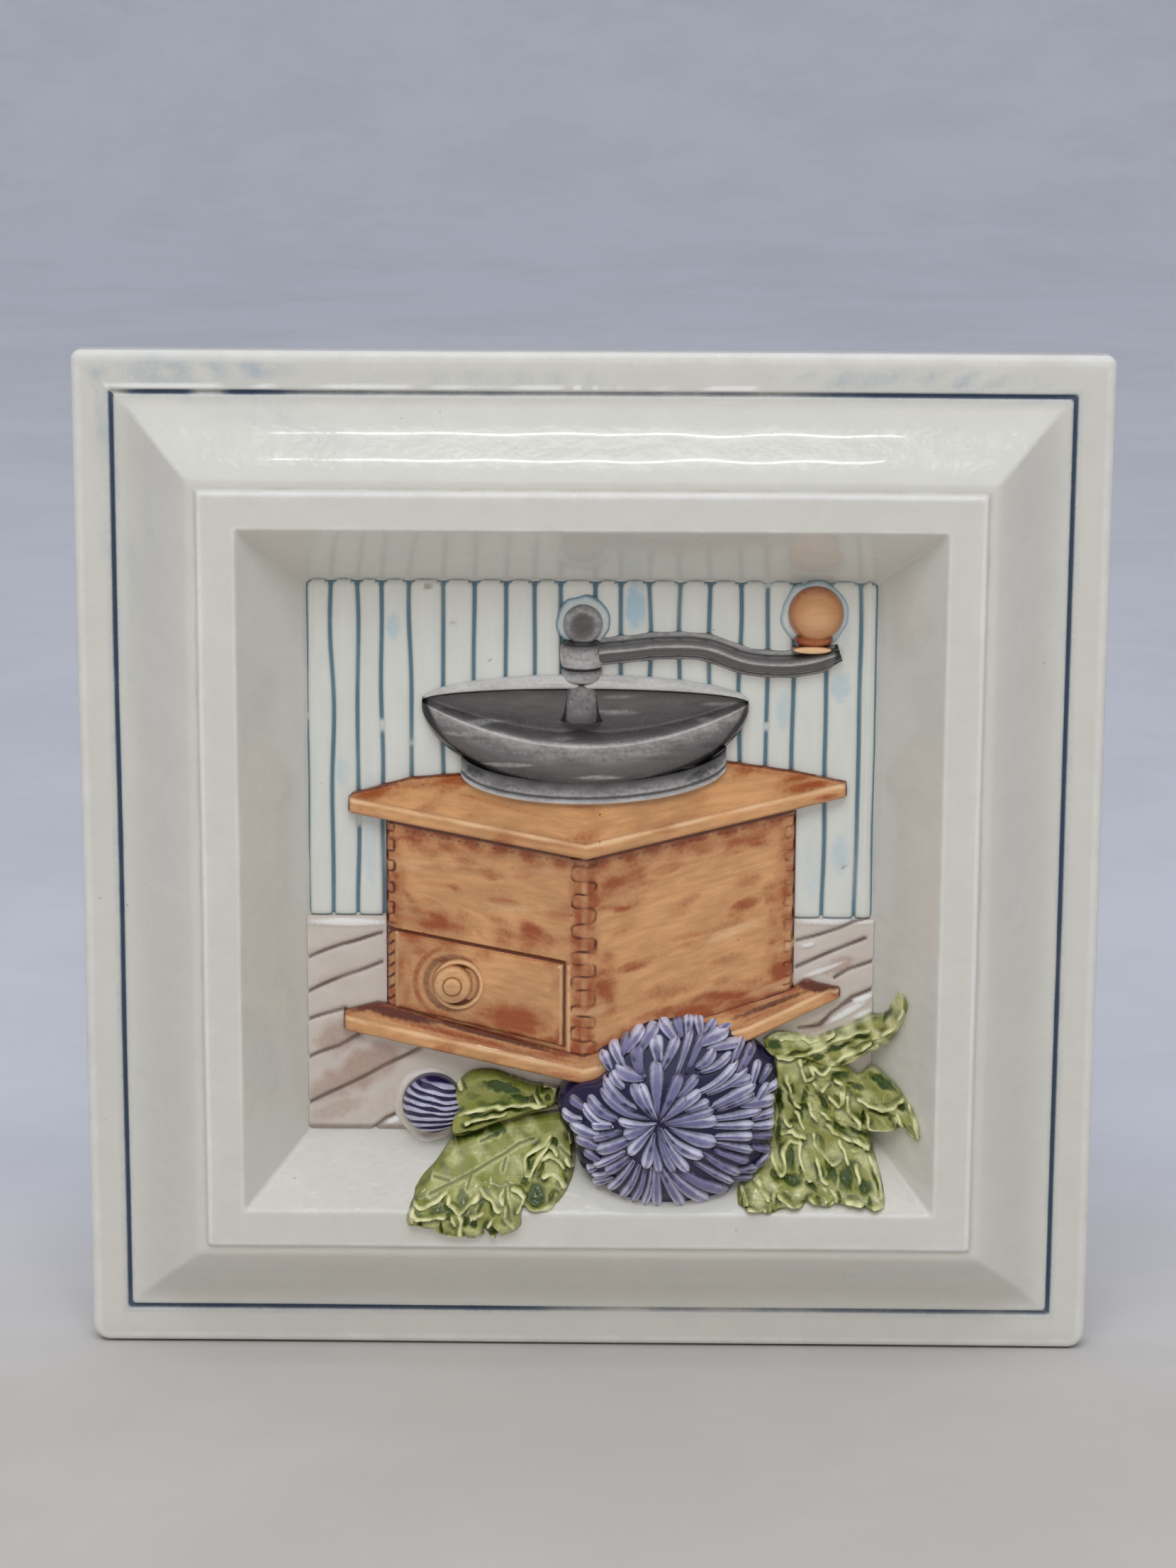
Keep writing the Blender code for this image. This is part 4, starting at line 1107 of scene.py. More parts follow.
ARM_SHADOW = ((5.6, 38.9), (8, 39.1), (11, 39.7))


def tips(middle, half_width, count):
    """Places across an oval with their share w, which falls to nought at its two tips."""
    t = np.sin(np.radians(np.linspace(-83, 83, count)))
    return middle + half_width * t, np.sqrt(1 - t * t)


def lofted(rows, count, masks, extra):
    """A sheet through control rows of (x, z, lift) points, with one mask value for each control row, and
    extra(x, z) for the masks that lie anyhow."""
    grid = smooth_line(rows, count)
    paint_masks = {
        key: loft_values(values, count)[:, None] * np.ones(grid.shape[:2])
        for key, values in masks.items()
    }
    for key, value in extra(grid[..., 0], grid[..., 1]).items():
        paint_masks[key] = np.maximum(paint_masks.get(key, 0), value)
    grid[..., 2] += mm("panel") + 0.04 * ripple(grid[..., 0], grid[..., 1], 4, 101)
    return sheet(grid, paint_masks)


def place(x, z, lift):
    return np.stack(np.broadcast_arrays(x, z, lift), axis=-1)


def build_hopper():
    """The flange, the open bowl drawn together at its two tips, and the turned post in it."""
    x, w = tips(0.5, 26, 90)
    edge = 18.7 + 0.03 * x - 6.6 * w
    steps = ((0.0, 2.2), (0.35, 3.1), (0.9, 3.3), (1.4, 2.95), (2.0, 3.1), (3.2, 2.9), (4.5, 2.6))
    flange = lofted(
        [place(x, edge + up, lift + 2.6 * w) for up, lift in steps], 34,
        {"pale": (0.4, 0.85, 0.5, 0.1, 0.45, 0.2, 0.1), "deep": (0.1, 0, 0.1, 0.7, 0.1, 0.2, 0.7)},
        lambda a, b: {
            "wash": 0.7 * ease(-0.3, 0.6, ripple(a * 0.6, b, 3, 143)),
            "deep": blobs(a, b, ((-22.8, 18.4, 2.2, 1.2, -25, 1.0), (22, 18.6, 5, 1.4, 30, 1.0))),
        },
    )
    add_piece("mill_flange", [flange], material("iron_glaze"))
    x, w = tips(BOWL_MIDDLE, BOWL_HALF_WIDTH, 110)
    foot = BOWL_RIM_Z - 16.8 * w
    near_rim = BOWL_RIM_Z - 8.0 * w * w
    far_inside = BOWL_RIM_Z + 2.8 * w
    belly = near_rim - foot
    rows = [
        (foot, 0.6 + 3.0 * w * w),
        (foot + 0.05 * belly, 1.0 + 3.6 * w * w),
        (foot + 0.25 * belly, 1.2 + 4.4 * w),
        (foot + 0.45 * belly, 1.3 + 4.8 * w),
        (foot + 0.65 * belly, 1.4 + 5.0 * w),
        (near_rim - 0.5 * w, 1.55 + 5.15 * w),
        (near_rim + 0.1 * w, 1.6 + 5.25 * w),
        (near_rim + 0.8 * w, 1.5 + 4.9 * w),
        (near_rim + 1.5 * w, 1.2 + 3.0 * w),
        (near_rim + 2.4 * w, 0.9 + 1.4 * w),
        (near_rim + 0.5 * (far_inside - near_rim) + 0.6 * w, 0.7 + 0.9 * w),
        (far_inside - 0.9 * w, 0.7 + 0.8 * w),
        (far_inside - 0.2 * w, 0.9 + 1.0 * w),
        (far_inside + 0.3 * w, 1.5 + 1.5 * w),
        (far_inside + 1.3 * w, 1.5 + 1.5 * w),
        (BOWL_RIM_Z + 5.3 * w, 1.0 + 1.0 * w),
    ]
    # The pale along the near rim and on the belly just below it is a painted highlight, and the belly
    # darkening towards its foot painted shade.
    paint = {
        "deep": (1.0, 0.8, 0.25, 0, 0, 0, 0, 0, 0.2, 0.35, 0.2, 0.3, 1.0, 0.2, 0.0, 0.1),
        "wash": (0.5, 0.6, 0.55, 0.35, 0.15, 0, 0, 0.3, 0.6, 0.55, 0.45, 0.4, 0.6, 0.1, 0, 0.2),
        "pale": (0, 0, 0, 0.05, 0.2, 0.42, 0.75, 0.25, 0, 0, 0.1, 0.1, 0, 0.75, 0.7, 0.75),
    }
    bowl = lofted(
        [place(x, z, lift) for z, lift in rows], 110, paint,
        lambda a, b: {
            "line": strongest(
                stroke(way_to(a, b, BOWL_LEFT_LINE), 1.25), 0.8 * stroke(way_to(a, b, BOWL_RIGHT_LINE), 1.0)
            ),
            "wash": strongest(blobs(a, b, BOWL_SHADE), 0.7 * ease(0.0, 0.8, ripple(a * 0.14, b, 2.4, 141))),
            "deep": 0.5 * ease(0.3, 0.9, ripple(a * 0.14, b, 3.1, 144)) * ease(8, 26, np.abs(a + 1)),
            "pale": 0.38 * ease(0.2, 0.9, ripple(a * 0.14, b, 2.0, 142)),
        },
    )
    add_piece("mill_bowl", [bowl], material("iron_glaze"))
    angle = np.linspace(-math.pi / 2, math.pi / 2, 30)
    across, out = np.sin(angle), np.cos(angle)
    rows = [place(POST_X + r * across, z - 0.25 * out, 0.9 + 0.8 * r * out) for z, r, _, _ in POST]
    post = lofted(
        rows, 90, {"deep": [step[2] for step in POST], "pale": [step[3] for step in POST]},
        lambda a, b: {
            "line": 0.9 * ease(2.6, 3.2, np.abs(a - POST_X)) * (b < 36),
            "wash": 0.5 * ease(0.5, 2.5, a - POST_X),
        },
    )
    halo = boss(
        -1.6, 47.6, 5.3, 5.3,
        ((1, 0.15), (0.95, 0.9), (0.86, 1.3), (0.7, 1.3), (0.3, 1.3), (0, 1.3)),
        {"line": (0.8, 0.7, 0.25, 0.1, 0, 0), "wash": (0.6, 0.6, 0.5, 0.3, 0, 0)},
        wobble=0.05,
    )
    # The pale on the nut's shoulders is a painted highlight.
    ball = boss(
        -1.7, 47.2, 3.9, 3.9,
        ((1, 0.6), (0.99, 1.6), (0.92, 2.8), (0.72, 3.5), (0.5, 3.7), (0.25, 3.75), (0, 3.75)),
        {
            "deep": (1, 0.6, 0.2, 0, 0.1, 0.3, 0.3),
            "wash": (0, 0.2, 0.3, 0.2, 0.5, 0.7, 0.7),
            "pale": (0, 0, 0.35, 0.4, 0.1, 0, 0),
        },
    )
    add_piece("mill_post", [post], material("iron_glaze"))
    add_piece("nut_border", [halo], material("wall_glaze"))
    add_piece("nut", [ball], material("iron_glaze"))


def along(points, count):
    """A smooth line through the points, with its left-hand side vectors."""
    middle = smooth_line(points, count)
    way = np.gradient(middle, axis=0)
    side = np.stack([-way[:, 1], way[:, 0]], axis=1) / np.linalg.norm(way, axis=1)[:, None]
    return middle, side


def build_crank():
    """The S-bent bar on its lower border, the wooden knob with its halo, and the collar under it."""
    middle, side = along(ARM, 130)
    taper = 1 - 0.35 * ease(44, 48.2, middle[:, 0])
    rows = []
    for out, lift, *_ in ARM_SECTION:
        spot = middle + (out * taper)[:, None] * side
        rows.append(place(spot[:, 0], spot[:, 1], lift))
    paint = {name: [step[k] for step in ARM_SECTION] for k, name in ((2, "deep"), (3, "wash"), (4, "pale"))}
    arm = lofted(
        rows, 70, paint,
        lambda a, b: {
            "line": 0.95 * strongest(stroke(way_to(a, b, ARM_SHADOW), 0.5), ease(46.6, 47.6, a)),
        },
    )
    add_piece("crank_arm", [arm], material("iron_glaze"))
    halo = boss(
        43.2, 49.3, 6.6, 6.6,
        ((1, 0.15), (0.97, 0.8), (0.9, 1.2), (0.8, 1.2), (0.3, 1.2), (0, 1.2)),
        {
            "line": (0.6, 0.4, 0.15, 0, 0, 0),
            "wash": (0.6, 0.7, 0.6, 0.3, 0, 0),
            "pale": (0, 0, 0, 0.4, 0, 0),
        },
        wobble=0.05,
    )
    add_piece("knob_border", [halo], material("wall_glaze"))
    # The pale towards the top of the knob is a painted highlight.
    knob = [
        boss(
            43.4, 49.5, 5.5, 5.5,
            ((1, 0.6), (0.985, 1.8), (0.92, 3.0), (0.78, 4.0), (0.55, 4.6), (0.3, 4.9), (0, 5.0)),
            {
                "deep": (0.5, 0.15, 0, 0, 0, 0, 0),
                "wash": (0.9, 0.8, 0.6, 0.45, 0.4, 0.25, 0.2),
                "pale": (0, 0, 0.1, 0.2, 0.3, 0.3, 0.3),
            },
        ),
        boss(
            43.0, 44.5, 3.9, 1.6,
            ((1, 0.6), (0.9, 2.6), (0.6, 3.5), (0.3, 3.7), (0, 3.7)),
            {"deep": (1, 0.6, 0.2, 0, 0), "wash": (1, 1, 0.9, 0.8, 0.8)},
        ),
    ]
    add_piece("crank_knob", knob, material("wood_glaze"))
    collar = boss(
        42.7, 42.7, 3.9, 0.75,
        ((1, 0.5), (0.96, 3.0), (0.8, 3.9), (0.4, 4.2), (0, 4.2)),
        {"deep": (1, 0.6, 0, 0, 0), "pale": (0, 0.2, 1, 1, 1)},
    )
    add_piece("crank_collar", [collar], material("wood_glaze"))


# The chrysanthemum.

FLOWER_X, FLOWER_Z, HEART_X, HEART_Z = 15.4, -47.9, 13.6, -48.6
FLOWER_HALF_WIDTH, FLOWER_HALF_HEIGHT = 21.6, 18.8
DRAWN_IN = 0.65  # share of the way to the heart by which the nearest feet are drawn in
TUCKED_IN = 0.18  # share of its length by which any other petal starts further back
PETALS = (  # foot x and z, tip x and z, half width, bow as a share of the length
    (13.2, -46.1, 13.2, -37.7, 1.4, 0), (12.9, -47.5, 10, -41.9, 0.97, 0.03),
    (11.3, -47.5, 8.4, -42, 1.1, 0.04), (9.2, -47.6, 2.2, -43.4, 0.9, 0.12),
    (7.9, -45.9, 2.9, -41.6, 1.1, 0.08), (12.7, -49.8, 5.7, -48.8, 0.65, 0.05),
    (5.7, -48.7, -0.2, -45, 1.1, 0.1), (3.9, -49.7, -1.3, -46.6, 0.84, 0.12), (4, -49.9, 0.5, -50.1, 0.97, 0),
    (9.9, -50.4, 6.8, -51.6, 1.1, 0), (6.4, -50.7, 0.5, -52.8, 0.65, 0), (8.2, -52.1, 1.4, -55.2, 1.2, 0.05),
    (11.8, -51, 7.8, -55.2, 1, 0), (6.3, -55.2, 0.9, -58.5, 0.65, 0), (7.4, -56.3, 3.3, -59.5, 0.97, 0),
    (12, -53.3, 11.1, -57.9, 1.1, 0), (12.3, -54.4, 13.9, -58.6, 0.84, 0),
    (13.4, -51, 16.9, -58.6, 0.9, -0.07), (14.8, -51.9, 19.6, -58.6, 0.97, -0.05),
    (16.4, -52.3, 22.5, -55.7, 1.1, -0.1), (18.1, -50.9, 25.1, -53.1, 1.3, -0.04),
    (17.5, -50.3, 25.3, -48.8, 1.2, 0), (16.8, -49.4, 24.6, -46.7, 0.77, 0), (15.1, -49, 22, -43.2, 1, 0),
    (19.9, -46.5, 23.6, -45.2, 0.71, 0), (14, -47.9, 18, -40, 1.2, 0), (18.1, -43.6, 21.3, -40.6, 0.84, 0),
    (16.9, -47, 19.3, -44.2, 0.71, 0), (13.6, -37.4, 12.9, -33.6, 1.4, 0),
    (14.7, -38.6, 17.4, -33.7, 0.97, 0), (17.6, -39.1, 20.1, -32.6, 0.65, 0),
    (19.7, -38.9, 22.8, -33, 0.84, 0), (21.5, -38.7, 24.7, -36, 0.97, -0.1),
    (22.8, -39.5, 28, -37, 0.65, -0.08), (22.6, -42.8, 29.3, -38.5, 0.71, -0.05),
    (24.3, -43.3, 31.2, -40.1, 0.65, -0.04), (27.3, -42.4, 32, -41.8, 0.77, 0),
    (25.4, -45.8, 32.8, -43, 0.97, 0), (26.2, -46.6, 32.6, -44.7, 0.65, 0), (25.7, -48.4, 34, -47.9, 0.65, 0),
    (25.4, -49.9, 32.6, -50.4, 0.71, 0), (25.8, -52, 32.4, -52.7, 0.77, 0),
    (26.2, -53.5, 32.4, -55.6, 0.65, 0), (25.5, -54.9, 31.7, -57.8, 0.77, 0),
    (23.4, -55.6, 30, -60.3, 0.84, 0), (21.8, -57.3, 28.8, -62.1, 0.65, 0),
    (18.9, -58.9, 27.6, -64, 1.4, -0.05), (16.8, -59.5, 23.6, -65.9, 1.4, -0.05),
    (14.7, -59, 18.6, -66.7, 1.1, 0), (13.4, -59, 13.5, -66.8, 0.97, 0),
    (12.3, -58.9, 10.8, -66.8, 0.71, 0.03), (10.8, -58.9, 8.7, -66, 0.65, 0.03),
    (9.5, -58.3, 6.4, -65.1, 0.71, 0.04), (8.2, -57.4, 3.8, -63.7, 0.71, 0.05),
    (10.2, -40.5, 5.1, -39.3, 1.3, 0.1), (6.5, -42.5, 4.3, -40.1, 0.9, 0.05),
    (10.2, -40, 9.3, -35.3, 1.5, 0.05), (10.4, -35.6, 13.3, -31.7, 1.09, 0), (7.5, -36, 10.6, -32.3, 0.96, 0),
    (16.9, -34.3, 13.9, -31, 1.02, 0), (18, -33.6, 17.2, -30.7, 0.96, 0), (19.4, -33.3, 19.6, -30.2, 0.9, 0),
    (22, -33.5, 21.4, -30.4, 0.9, 0), (21.9, -35, 27.5, -33.3, 1.15, 0), (24.1, -36.1, 29.6, -35.5, 0.77, 0),
    (22.8, -33.5, 25, -31, 0.83, 0), (25.5, -33.3, 28.6, -31.7, 0.77, 0), (29.7, -40.1, 32.5, -36.2, 1.02, 0),
    (32.2, -42.6, 33.4, -39, 0.73, 0), (32.9, -46.4, 35.4, -43.3, 0.77, 0),
    (30.6, -46.3, 36.7, -46.5, 1.09, 0), (32.3, -60.4, 35.9, -57.1, 0.77, 0),
    (32.4, -59.9, 34.7, -58.5, 0.9, 0), (29.7, -59.5, 33.6, -59.9, 0.9, 0),
    (28.4, -38.7, 30.4, -34.6, 0.77, 0), (33.9, -42.6, 35.9, -40.3, 0.7, 0),
    (34.5, -44.8, 37.3, -43.8, 0.67, 0), (32.7, -49.2, 36.6, -48.8, 0.73, 0),
    (32.6, -50.8, 36.7, -51.2, 0.73, 0), (32.2, -52.7, 36.5, -53.5, 0.73, 0),
    (32.4, -54.9, 36, -56.5, 0.73, 0), (28.7, -61, 32.6, -62, 0.77, 0), (-1.9, -49.5, -5.4, -48.9, 0.97, 0.1),
    (-0.6, -47.5, -3.9, -45.9, 0.9, 0), (2.1, -52, -3.8, -50.8, 1.09, 0.05),
    (1.9, -54.6, -2.6, -53.4, 1.09, 0), (2.2, -57.2, -0.9, -55.6, 0.96, 0), (4, -59.3, 0.6, -60.8, 0.58, 0.1),
    (4.4, -60.9, 0.8, -62.9, 0.7, 0), (1.4, -58.8, -0.3, -59.7, 0.77, 0), (4, -39.5, 2.4, -37, 0.96, 0),
    (6.4, -38.9, 4.4, -35.3, 1.02, 0), (6.5, -36.8, 7.9, -33.7, 0.9, 0),
)
FLOWER_OUTLINE = (
    (12.7, -30.5), (10.1, -31.6), (7.6, -33.4), (5.2, -35.1), (2.4, -36.3), (1.4, -37.4), (2.5, -39),
    (3.1, -40.8), (1, -42.6), (-1.9, -43.3), (-5.5, -45.1), (-6.9, -48.2), (-5.9, -50.7), (-3.9, -52.3),
    (-3.2, -55.2), (-2.6, -58.6), (-1.3, -61.3), (0.3, -62.8), (2.9, -63.4), (4.2, -64.8), (6.8, -65.7),
    (10, -67.1), (12.5, -67.3), (15.4, -67.2), (18, -67), (19.9, -67.7), (21.7, -67), (24.1, -65.9),
    (27.8, -64.7), (29.8, -62.5), (32.5, -61.8), (34.6, -59.4), (35.3, -57.1), (36, -53.5), (36.7, -49.6),
    (37.3, -45.3), (37.8, -42.3), (37.4, -39.6), (35.4, -37.9), (33.2, -36), (30.2, -35.2), (29.2, -32.1),
    (26.4, -30.4), (22.5, -29.5), (17.9, -29.3), (15, -30),
)


def flower_lift(x, z):
    """The flower's dome. Share is the way from the heart to the oval outline, found by steps. The dome falls
    with the square of the share and faster near the outline, and rises towards the plaque's lower edge."""
    share = np.hypot((x - FLOWER_X) / FLOWER_HALF_WIDTH, (z - FLOWER_Z) / FLOWER_HALF_HEIGHT)
    for _ in range(8):
        aside, up = (HEART_X - FLOWER_X) * (1 - share), (HEART_Z - FLOWER_Z) * (1 - share)
        part_x, part_z = (x - FLOWER_X - aside) / FLOWER_HALF_WIDTH, (z - FLOWER_Z - up) / FLOWER_HALF_HEIGHT
        share = 0.5 * share + 0.5 * np.minimum(np.hypot(part_x, part_z), 1.15)
    return 10.3 - (z - FLOWER_Z) * 0.31 + 6.4 * (1 - share**2) - 2.0 * share**6


def petal(foot_x, foot_z, tip_x, tip_z, half_width, bow, seed):
    """A petal on the flower's dome: t runs from foot to tip and u across. Its half width swells to the
    tip and closes round it, its back is a rounded ridge, and bow bends its middle line aside. A foot near
    the heart is drawn in to it, and any other slips under the petals before it."""
    draw = np.random.default_rng(seed)
    t = np.linspace(0, 1, 18)[:, None]
    u = np.linspace(-1, 1, 11)
    near = DRAWN_IN * float(ease(8, 4, math.hypot(foot_x - HEART_X, foot_z - HEART_Z)))
    foot_x, foot_z = foot_x + (HEART_X - foot_x) * near, foot_z + (HEART_Z - foot_z) * near
    if not near:
        foot_x, foot_z = foot_x - TUCKED_IN * (tip_x - foot_x), foot_z - TUCKED_IN * (tip_z - foot_z)
    dx, dz = tip_x - foot_x, tip_z - foot_z
    reach = math.hypot(dx, dz)
    closing = np.sqrt(np.clip(1 - (np.clip(t - 0.8, 0, 1) / 0.205) ** 2, 0, 1))
    closing = closing * np.sqrt(1 - (np.clip(0.12 - t, 0, 1) / 0.13) ** 2)
    narrow = 0.32 if near > 0.3 else 0.62
    wide = (0.85 * max(half_width, 0.6) + 0.3) * (narrow + (1 - narrow) * ease(0, 0.7, t)) * closing
    bulge = bow * reach * np.sin(math.pi * t) + draw.uniform(-0.02, 0.02) * reach * np.sin(math.pi * t)
    aside = bulge + wide * u
    x = foot_x + dx * t - dz / reach * aside
    z = foot_z + dz * t + dx / reach * aside
    crown = 1 - np.abs(u) ** 3
    rise = -0.35 + 1.1 * t**0.8 - 1.1 * ease(0.9, 1.0, t)
    groove = 0.22 * np.exp(-((u / 0.28) ** 2)) * ease(0.35, 0.8, t) * (half_width > 0.8)
    lift = flower_lift(x, z) - 0.75 + (rise + 0.95) * crown - groove
    inked = 0.46 / (half_width + 0.3)
    edge = np.maximum(np.abs(u), ease(0.82, 1.03, t))
    light = draw.uniform(0.2, 0.65)
    mottle = ease(0.1, 0.9, ripple(x, z, 2.6, 123))
    masks = {
        "deep": np.maximum(ease(1 - 1.35 * inked, 1 - 0.6 * inked, edge), 0.85 * ease(0.2, 0.0, t)),
        "wash": 0.35 * ease(0.5, 0.0, t) + draw.uniform(0, 0.3) + 0.5 * mottle,
        "pale": light * ease(0.35, 0.8, np.abs(u) / (1 - inked)) + light * 0.7 * ease(0.5, 0.9, t),
    }
    grid = np.stack(np.broadcast_arrays(x, z, mm("panel") + lift), axis=-1)
    return sheet(grid, masks, sink=0.8)


def build_flower():
    """A dark core with a lobed outline, and the petals on it, each from its own foot to its own tip."""
    outline = smooth_line([*FLOWER_OUTLINE, FLOWER_OUTLINE[0]], 221)[:-1]
    way = np.linspace(0.99, 0.03, 28)[:, None]
    shares = way / 0.99
    x = HEART_X + (outline[:, 0] - HEART_X) * way
    z = HEART_Z + (outline[:, 1] - HEART_Z) * way
    lift = flower_lift(x, z) - 0.9 - 4.5 * ease(0.97, 1.0, shares)
    smear = 0.5 * ease(0.2, 0.9, ripple(x, z, 5, 122)) * ease(0.7, 1.0, shares)
    core = dome(
        np.stack([x, z, mm("panel") + lift], axis=-1), (HEART_X, HEART_Z, mm("panel") + 15.8),
        {"deep": 1 - 0.5 * smear},
    )
    add_piece("flower_core", [core], material("violet_glaze"))
    petals = [petal(*places, number) for number, places in enumerate(PETALS)]
    add_piece("flower_petals", petals, material("violet_glaze"))


# The bud, the leaves and the stem.

BUD_X, BUD_Z = -31.2, -49.5


def build_bud():
    """An oval bud in a ring of clear glaze. Its stripes fan out from a place far beyond its stalk."""
    ring = boss(
        BUD_X - 0.5, BUD_Z - 0.5, 7.2, 7.6,
        ((1, 0.1), (0.97, 0.7), (0.9, 1.3), (0.75, 1.9), (0.3, 2.2), (0, 2.2)),
        {
            "line": (0.3, 0.15, 0, 0, 0, 0),
            "wash": (0.15, 0.2, 0.1, 0.3, 0.5, 0.5),
            "pale": (0.1, 0.45, 0.35, 0.1, 0, 0),
        },
        wobble=0.03,
    )
    add_piece("bud_border", [ring], material("floor_glaze"))
    angle = np.linspace(0, math.tau, 150, endpoint=False)
    profile = smooth_line(((1, 1.6), (0.97, 3.4), (0.86, 5.2), (0.66, 6.4), (0.35, 7.3), (0.02, 7.6)), 60)
    share = profile[:, :1]
    x = BUD_X + 6.1 * share * np.cos(angle)
    z = BUD_Z + 6.1 * share * np.sin(angle)
    fan = np.degrees(np.arctan2(z - BUD_Z + 2.0, BUD_X + 20 - x)) + 0.5 * ripple(x, z, 5, 133)
    stripes = 0.5 + 0.5 * np.cos(math.tau * fan / 3.9 + 1.1 * ripple(x, z, 8, 132))
    bright = ease(0.3, 0.7, stripes + 0.3 * ripple(x, 2 * z, 5, 131)) * ease(1.0, 0.92, share)
    bright = bright * np.clip(1.1 - 0.6 * ease(3.4, 5.6, z - BUD_Z), 0, 1)
    lift = profile[:, 1:] - 0.5 * (1 - bright) * ease(1.0, 0.9, share)
    grid = np.stack(np.broadcast_arrays(x, z, mm("panel") + lift), axis=-1)
    bud = dome(grid, (BUD_X, BUD_Z, mm("panel") + 7.4), {"deep": 1 - bright, "pale": 0.6 * bright})
    add_piece("bud", [bud], material("violet_glaze"))


def even_line(points, count):
    """A smooth line through the points, as count points that are evenly spaced along it."""
    fine = smooth_line(points, 900)
    run = np.concatenate([[0], np.cumsum(np.linalg.norm(np.diff(fine, axis=0), axis=1))])
    spots = np.linspace(0, run[-1], count)
    return np.stack([np.interp(spots, run, fine[:, k]) for k in range(2)], axis=1)


def leaf(upper, lower, lift, ridges, hollows, veins=(), size=(170, 110), light=0.35, wash=0.6, creased=0.4):
    """A leaf between two edges. It swells from both; rolled edges stand up as pale ridges, which are painted
    highlights, with dark feet of painted shadow, folds sink as dark hollows, veins are fine lines with a pale
    side, and soft creases run over it all, pale on their lines and darker in their dips as painted light and
    shade."""
    long, across = size
    a, b = even_line(upper, long), even_line(lower, long)
    share = np.linspace(0, 1, across)[:, None, None]
    grid = b + (a - b) * share
    x, z = grid[..., 0], grid[..., 1]
    from_edge = np.minimum(share, 1 - share)[..., 0] * np.linalg.norm(a - b, axis=1)
    from_end = np.minimum(np.arange(long), np.arange(long)[::-1]) * 0.35
    rim = ease(0.0, 1.3, np.minimum(from_edge, from_end + 0.2))
    worn = np.clip(0.8 + 0.5 * ripple(x, z, 3.1, 113), 0.15, 1)
    sway_x, sway_z = x + 0.28 * ripple(x, z, 3.3, 114), z + 0.28 * ripple(x, z, 3.1, 115)
    way = np.min([way_to(sway_x, sway_z, smooth_line(line, 4 * len(line))) for line in ridges], axis=0)
    ridge = stroke(way, 0.42) * worn
    foot = ease(1.5, 0.7, way) * ease(0.25, 0.6, way) * ease(-0.5, 0.5, ripple(x, z, 3.7, 118))
    vein_way = np.min([way_to(x, z, line) for line in veins], axis=0) if veins else 9 + 0 * x
    vein = stroke(vein_way, 0.28)
    hollow = blobs(sway_x, sway_z, hollows)
    ruffle, folds = ripple(x, z, 4.2, 111), ripple(x, z, 2.3, 116)
    crumple = ripple(x * 1.3, z, 4.6, 117)
    crease = creased * ease(0.14, 0.03, np.abs(crumple)) * ease(-0.3, 0.5, ruffle)
    height = drape(x, z) + lift * rim - 0.35 * vein - 0.8 * hollow + 0.85 * ridge - 0.3 * foot
    height = height + (0.22 * ruffle + 0.12 * folds + 0.2 * crease) * rim
    masks = {
        "deep": strongest(
            hollow * (1 - 0.8 * ridge), 0.9 * foot, 0.55 * ease(0.0, -0.9, ruffle) * (1 - ridge),
            0.45 * (1 - rim), 0.5 * creased * ease(-0.35, -0.8, crumple),
        ),
        "pale": (1 - 0.8 * hollow) * strongest(
            0.9 * ridge, 0.5 * crease, light * ease(-0.7, 0.6, ripple(x, z, 5, 119)),
            0.45 * ease(1.1, 0.4, vein_way),
        ),
        "line": 0.6 * vein,
        "wash": wash * ease(-0.2, 0.8, ripple(x, z, 9, 112)) * (1 - ridge),
    }
    return sheet(np.stack([x, z, height], axis=-1), masks)


# Leaves: the upper edge and the lower edge. Ridges and veins are broken lines, and hollows are oval patches.

LEFT_LEAF = (
    (
        (-5.9, -51.1), (-15.6, -52.5), (-21.5, -54.1), (-26.2, -55.8), (-28, -57.4), (-30.2, -60),
        (-32.8, -62.2), (-34.4, -64.3), (-35.3, -66), (-35.7, -69.2),
    ),
    (
        (-3.4, -54.6), (-2.9, -60.4), (-4, -63.7), (-6.6, -66.4), (-10.1, -67.6), (-12.2, -66.9),
        (-12.9, -68), (-13.6, -70.7), (-17.2, -72.3), (-18.5, -72.5), (-19.8, -70.9), (-21.4, -72.6),
        (-25.2, -72.5), (-28.5, -72.2), (-29.1, -71.0), (-31.9, -70.8), (-33.1, -70.4), (-35.3, -70.2),
    ),
)
BUD_LEAF = (
    (
        (-27.2, -46.5), (-25.8, -45.0), (-23.3, -43.1), (-19.2, -42.7), (-15.6, -43.9), (-11.5, -45.3),
        (-8.8, -45.6), (-6.5, -46.2),
    ),
    (
        (-27.4, -54.6), (-26.5, -55.8), (-23.3, -55.4), (-19.1, -53.8), (-15.6, -52.7), (-11.2, -51.3),
        (-8.2, -50.5), (-6.5, -49.8),
    ),
)
BUD_LEAF_RIDGES = (
    ((-25.7, -51.2), (-24.5, -50.7), (-21.5, -50), (-17.7, -49.6), (-13.8, -49), (-8.8, -49.4)),
    ((-24.5, -52.7), (-19.7, -51.5), (-16.8, -50.8)), ((-26.3, -45.1), (-25.2, -45.7)),
    ((-8.8, -45.6), (-6.9, -46.1), (-6.6, -48.4)), ((-10.9, -47.1), (-9.9, -48.7)),
)
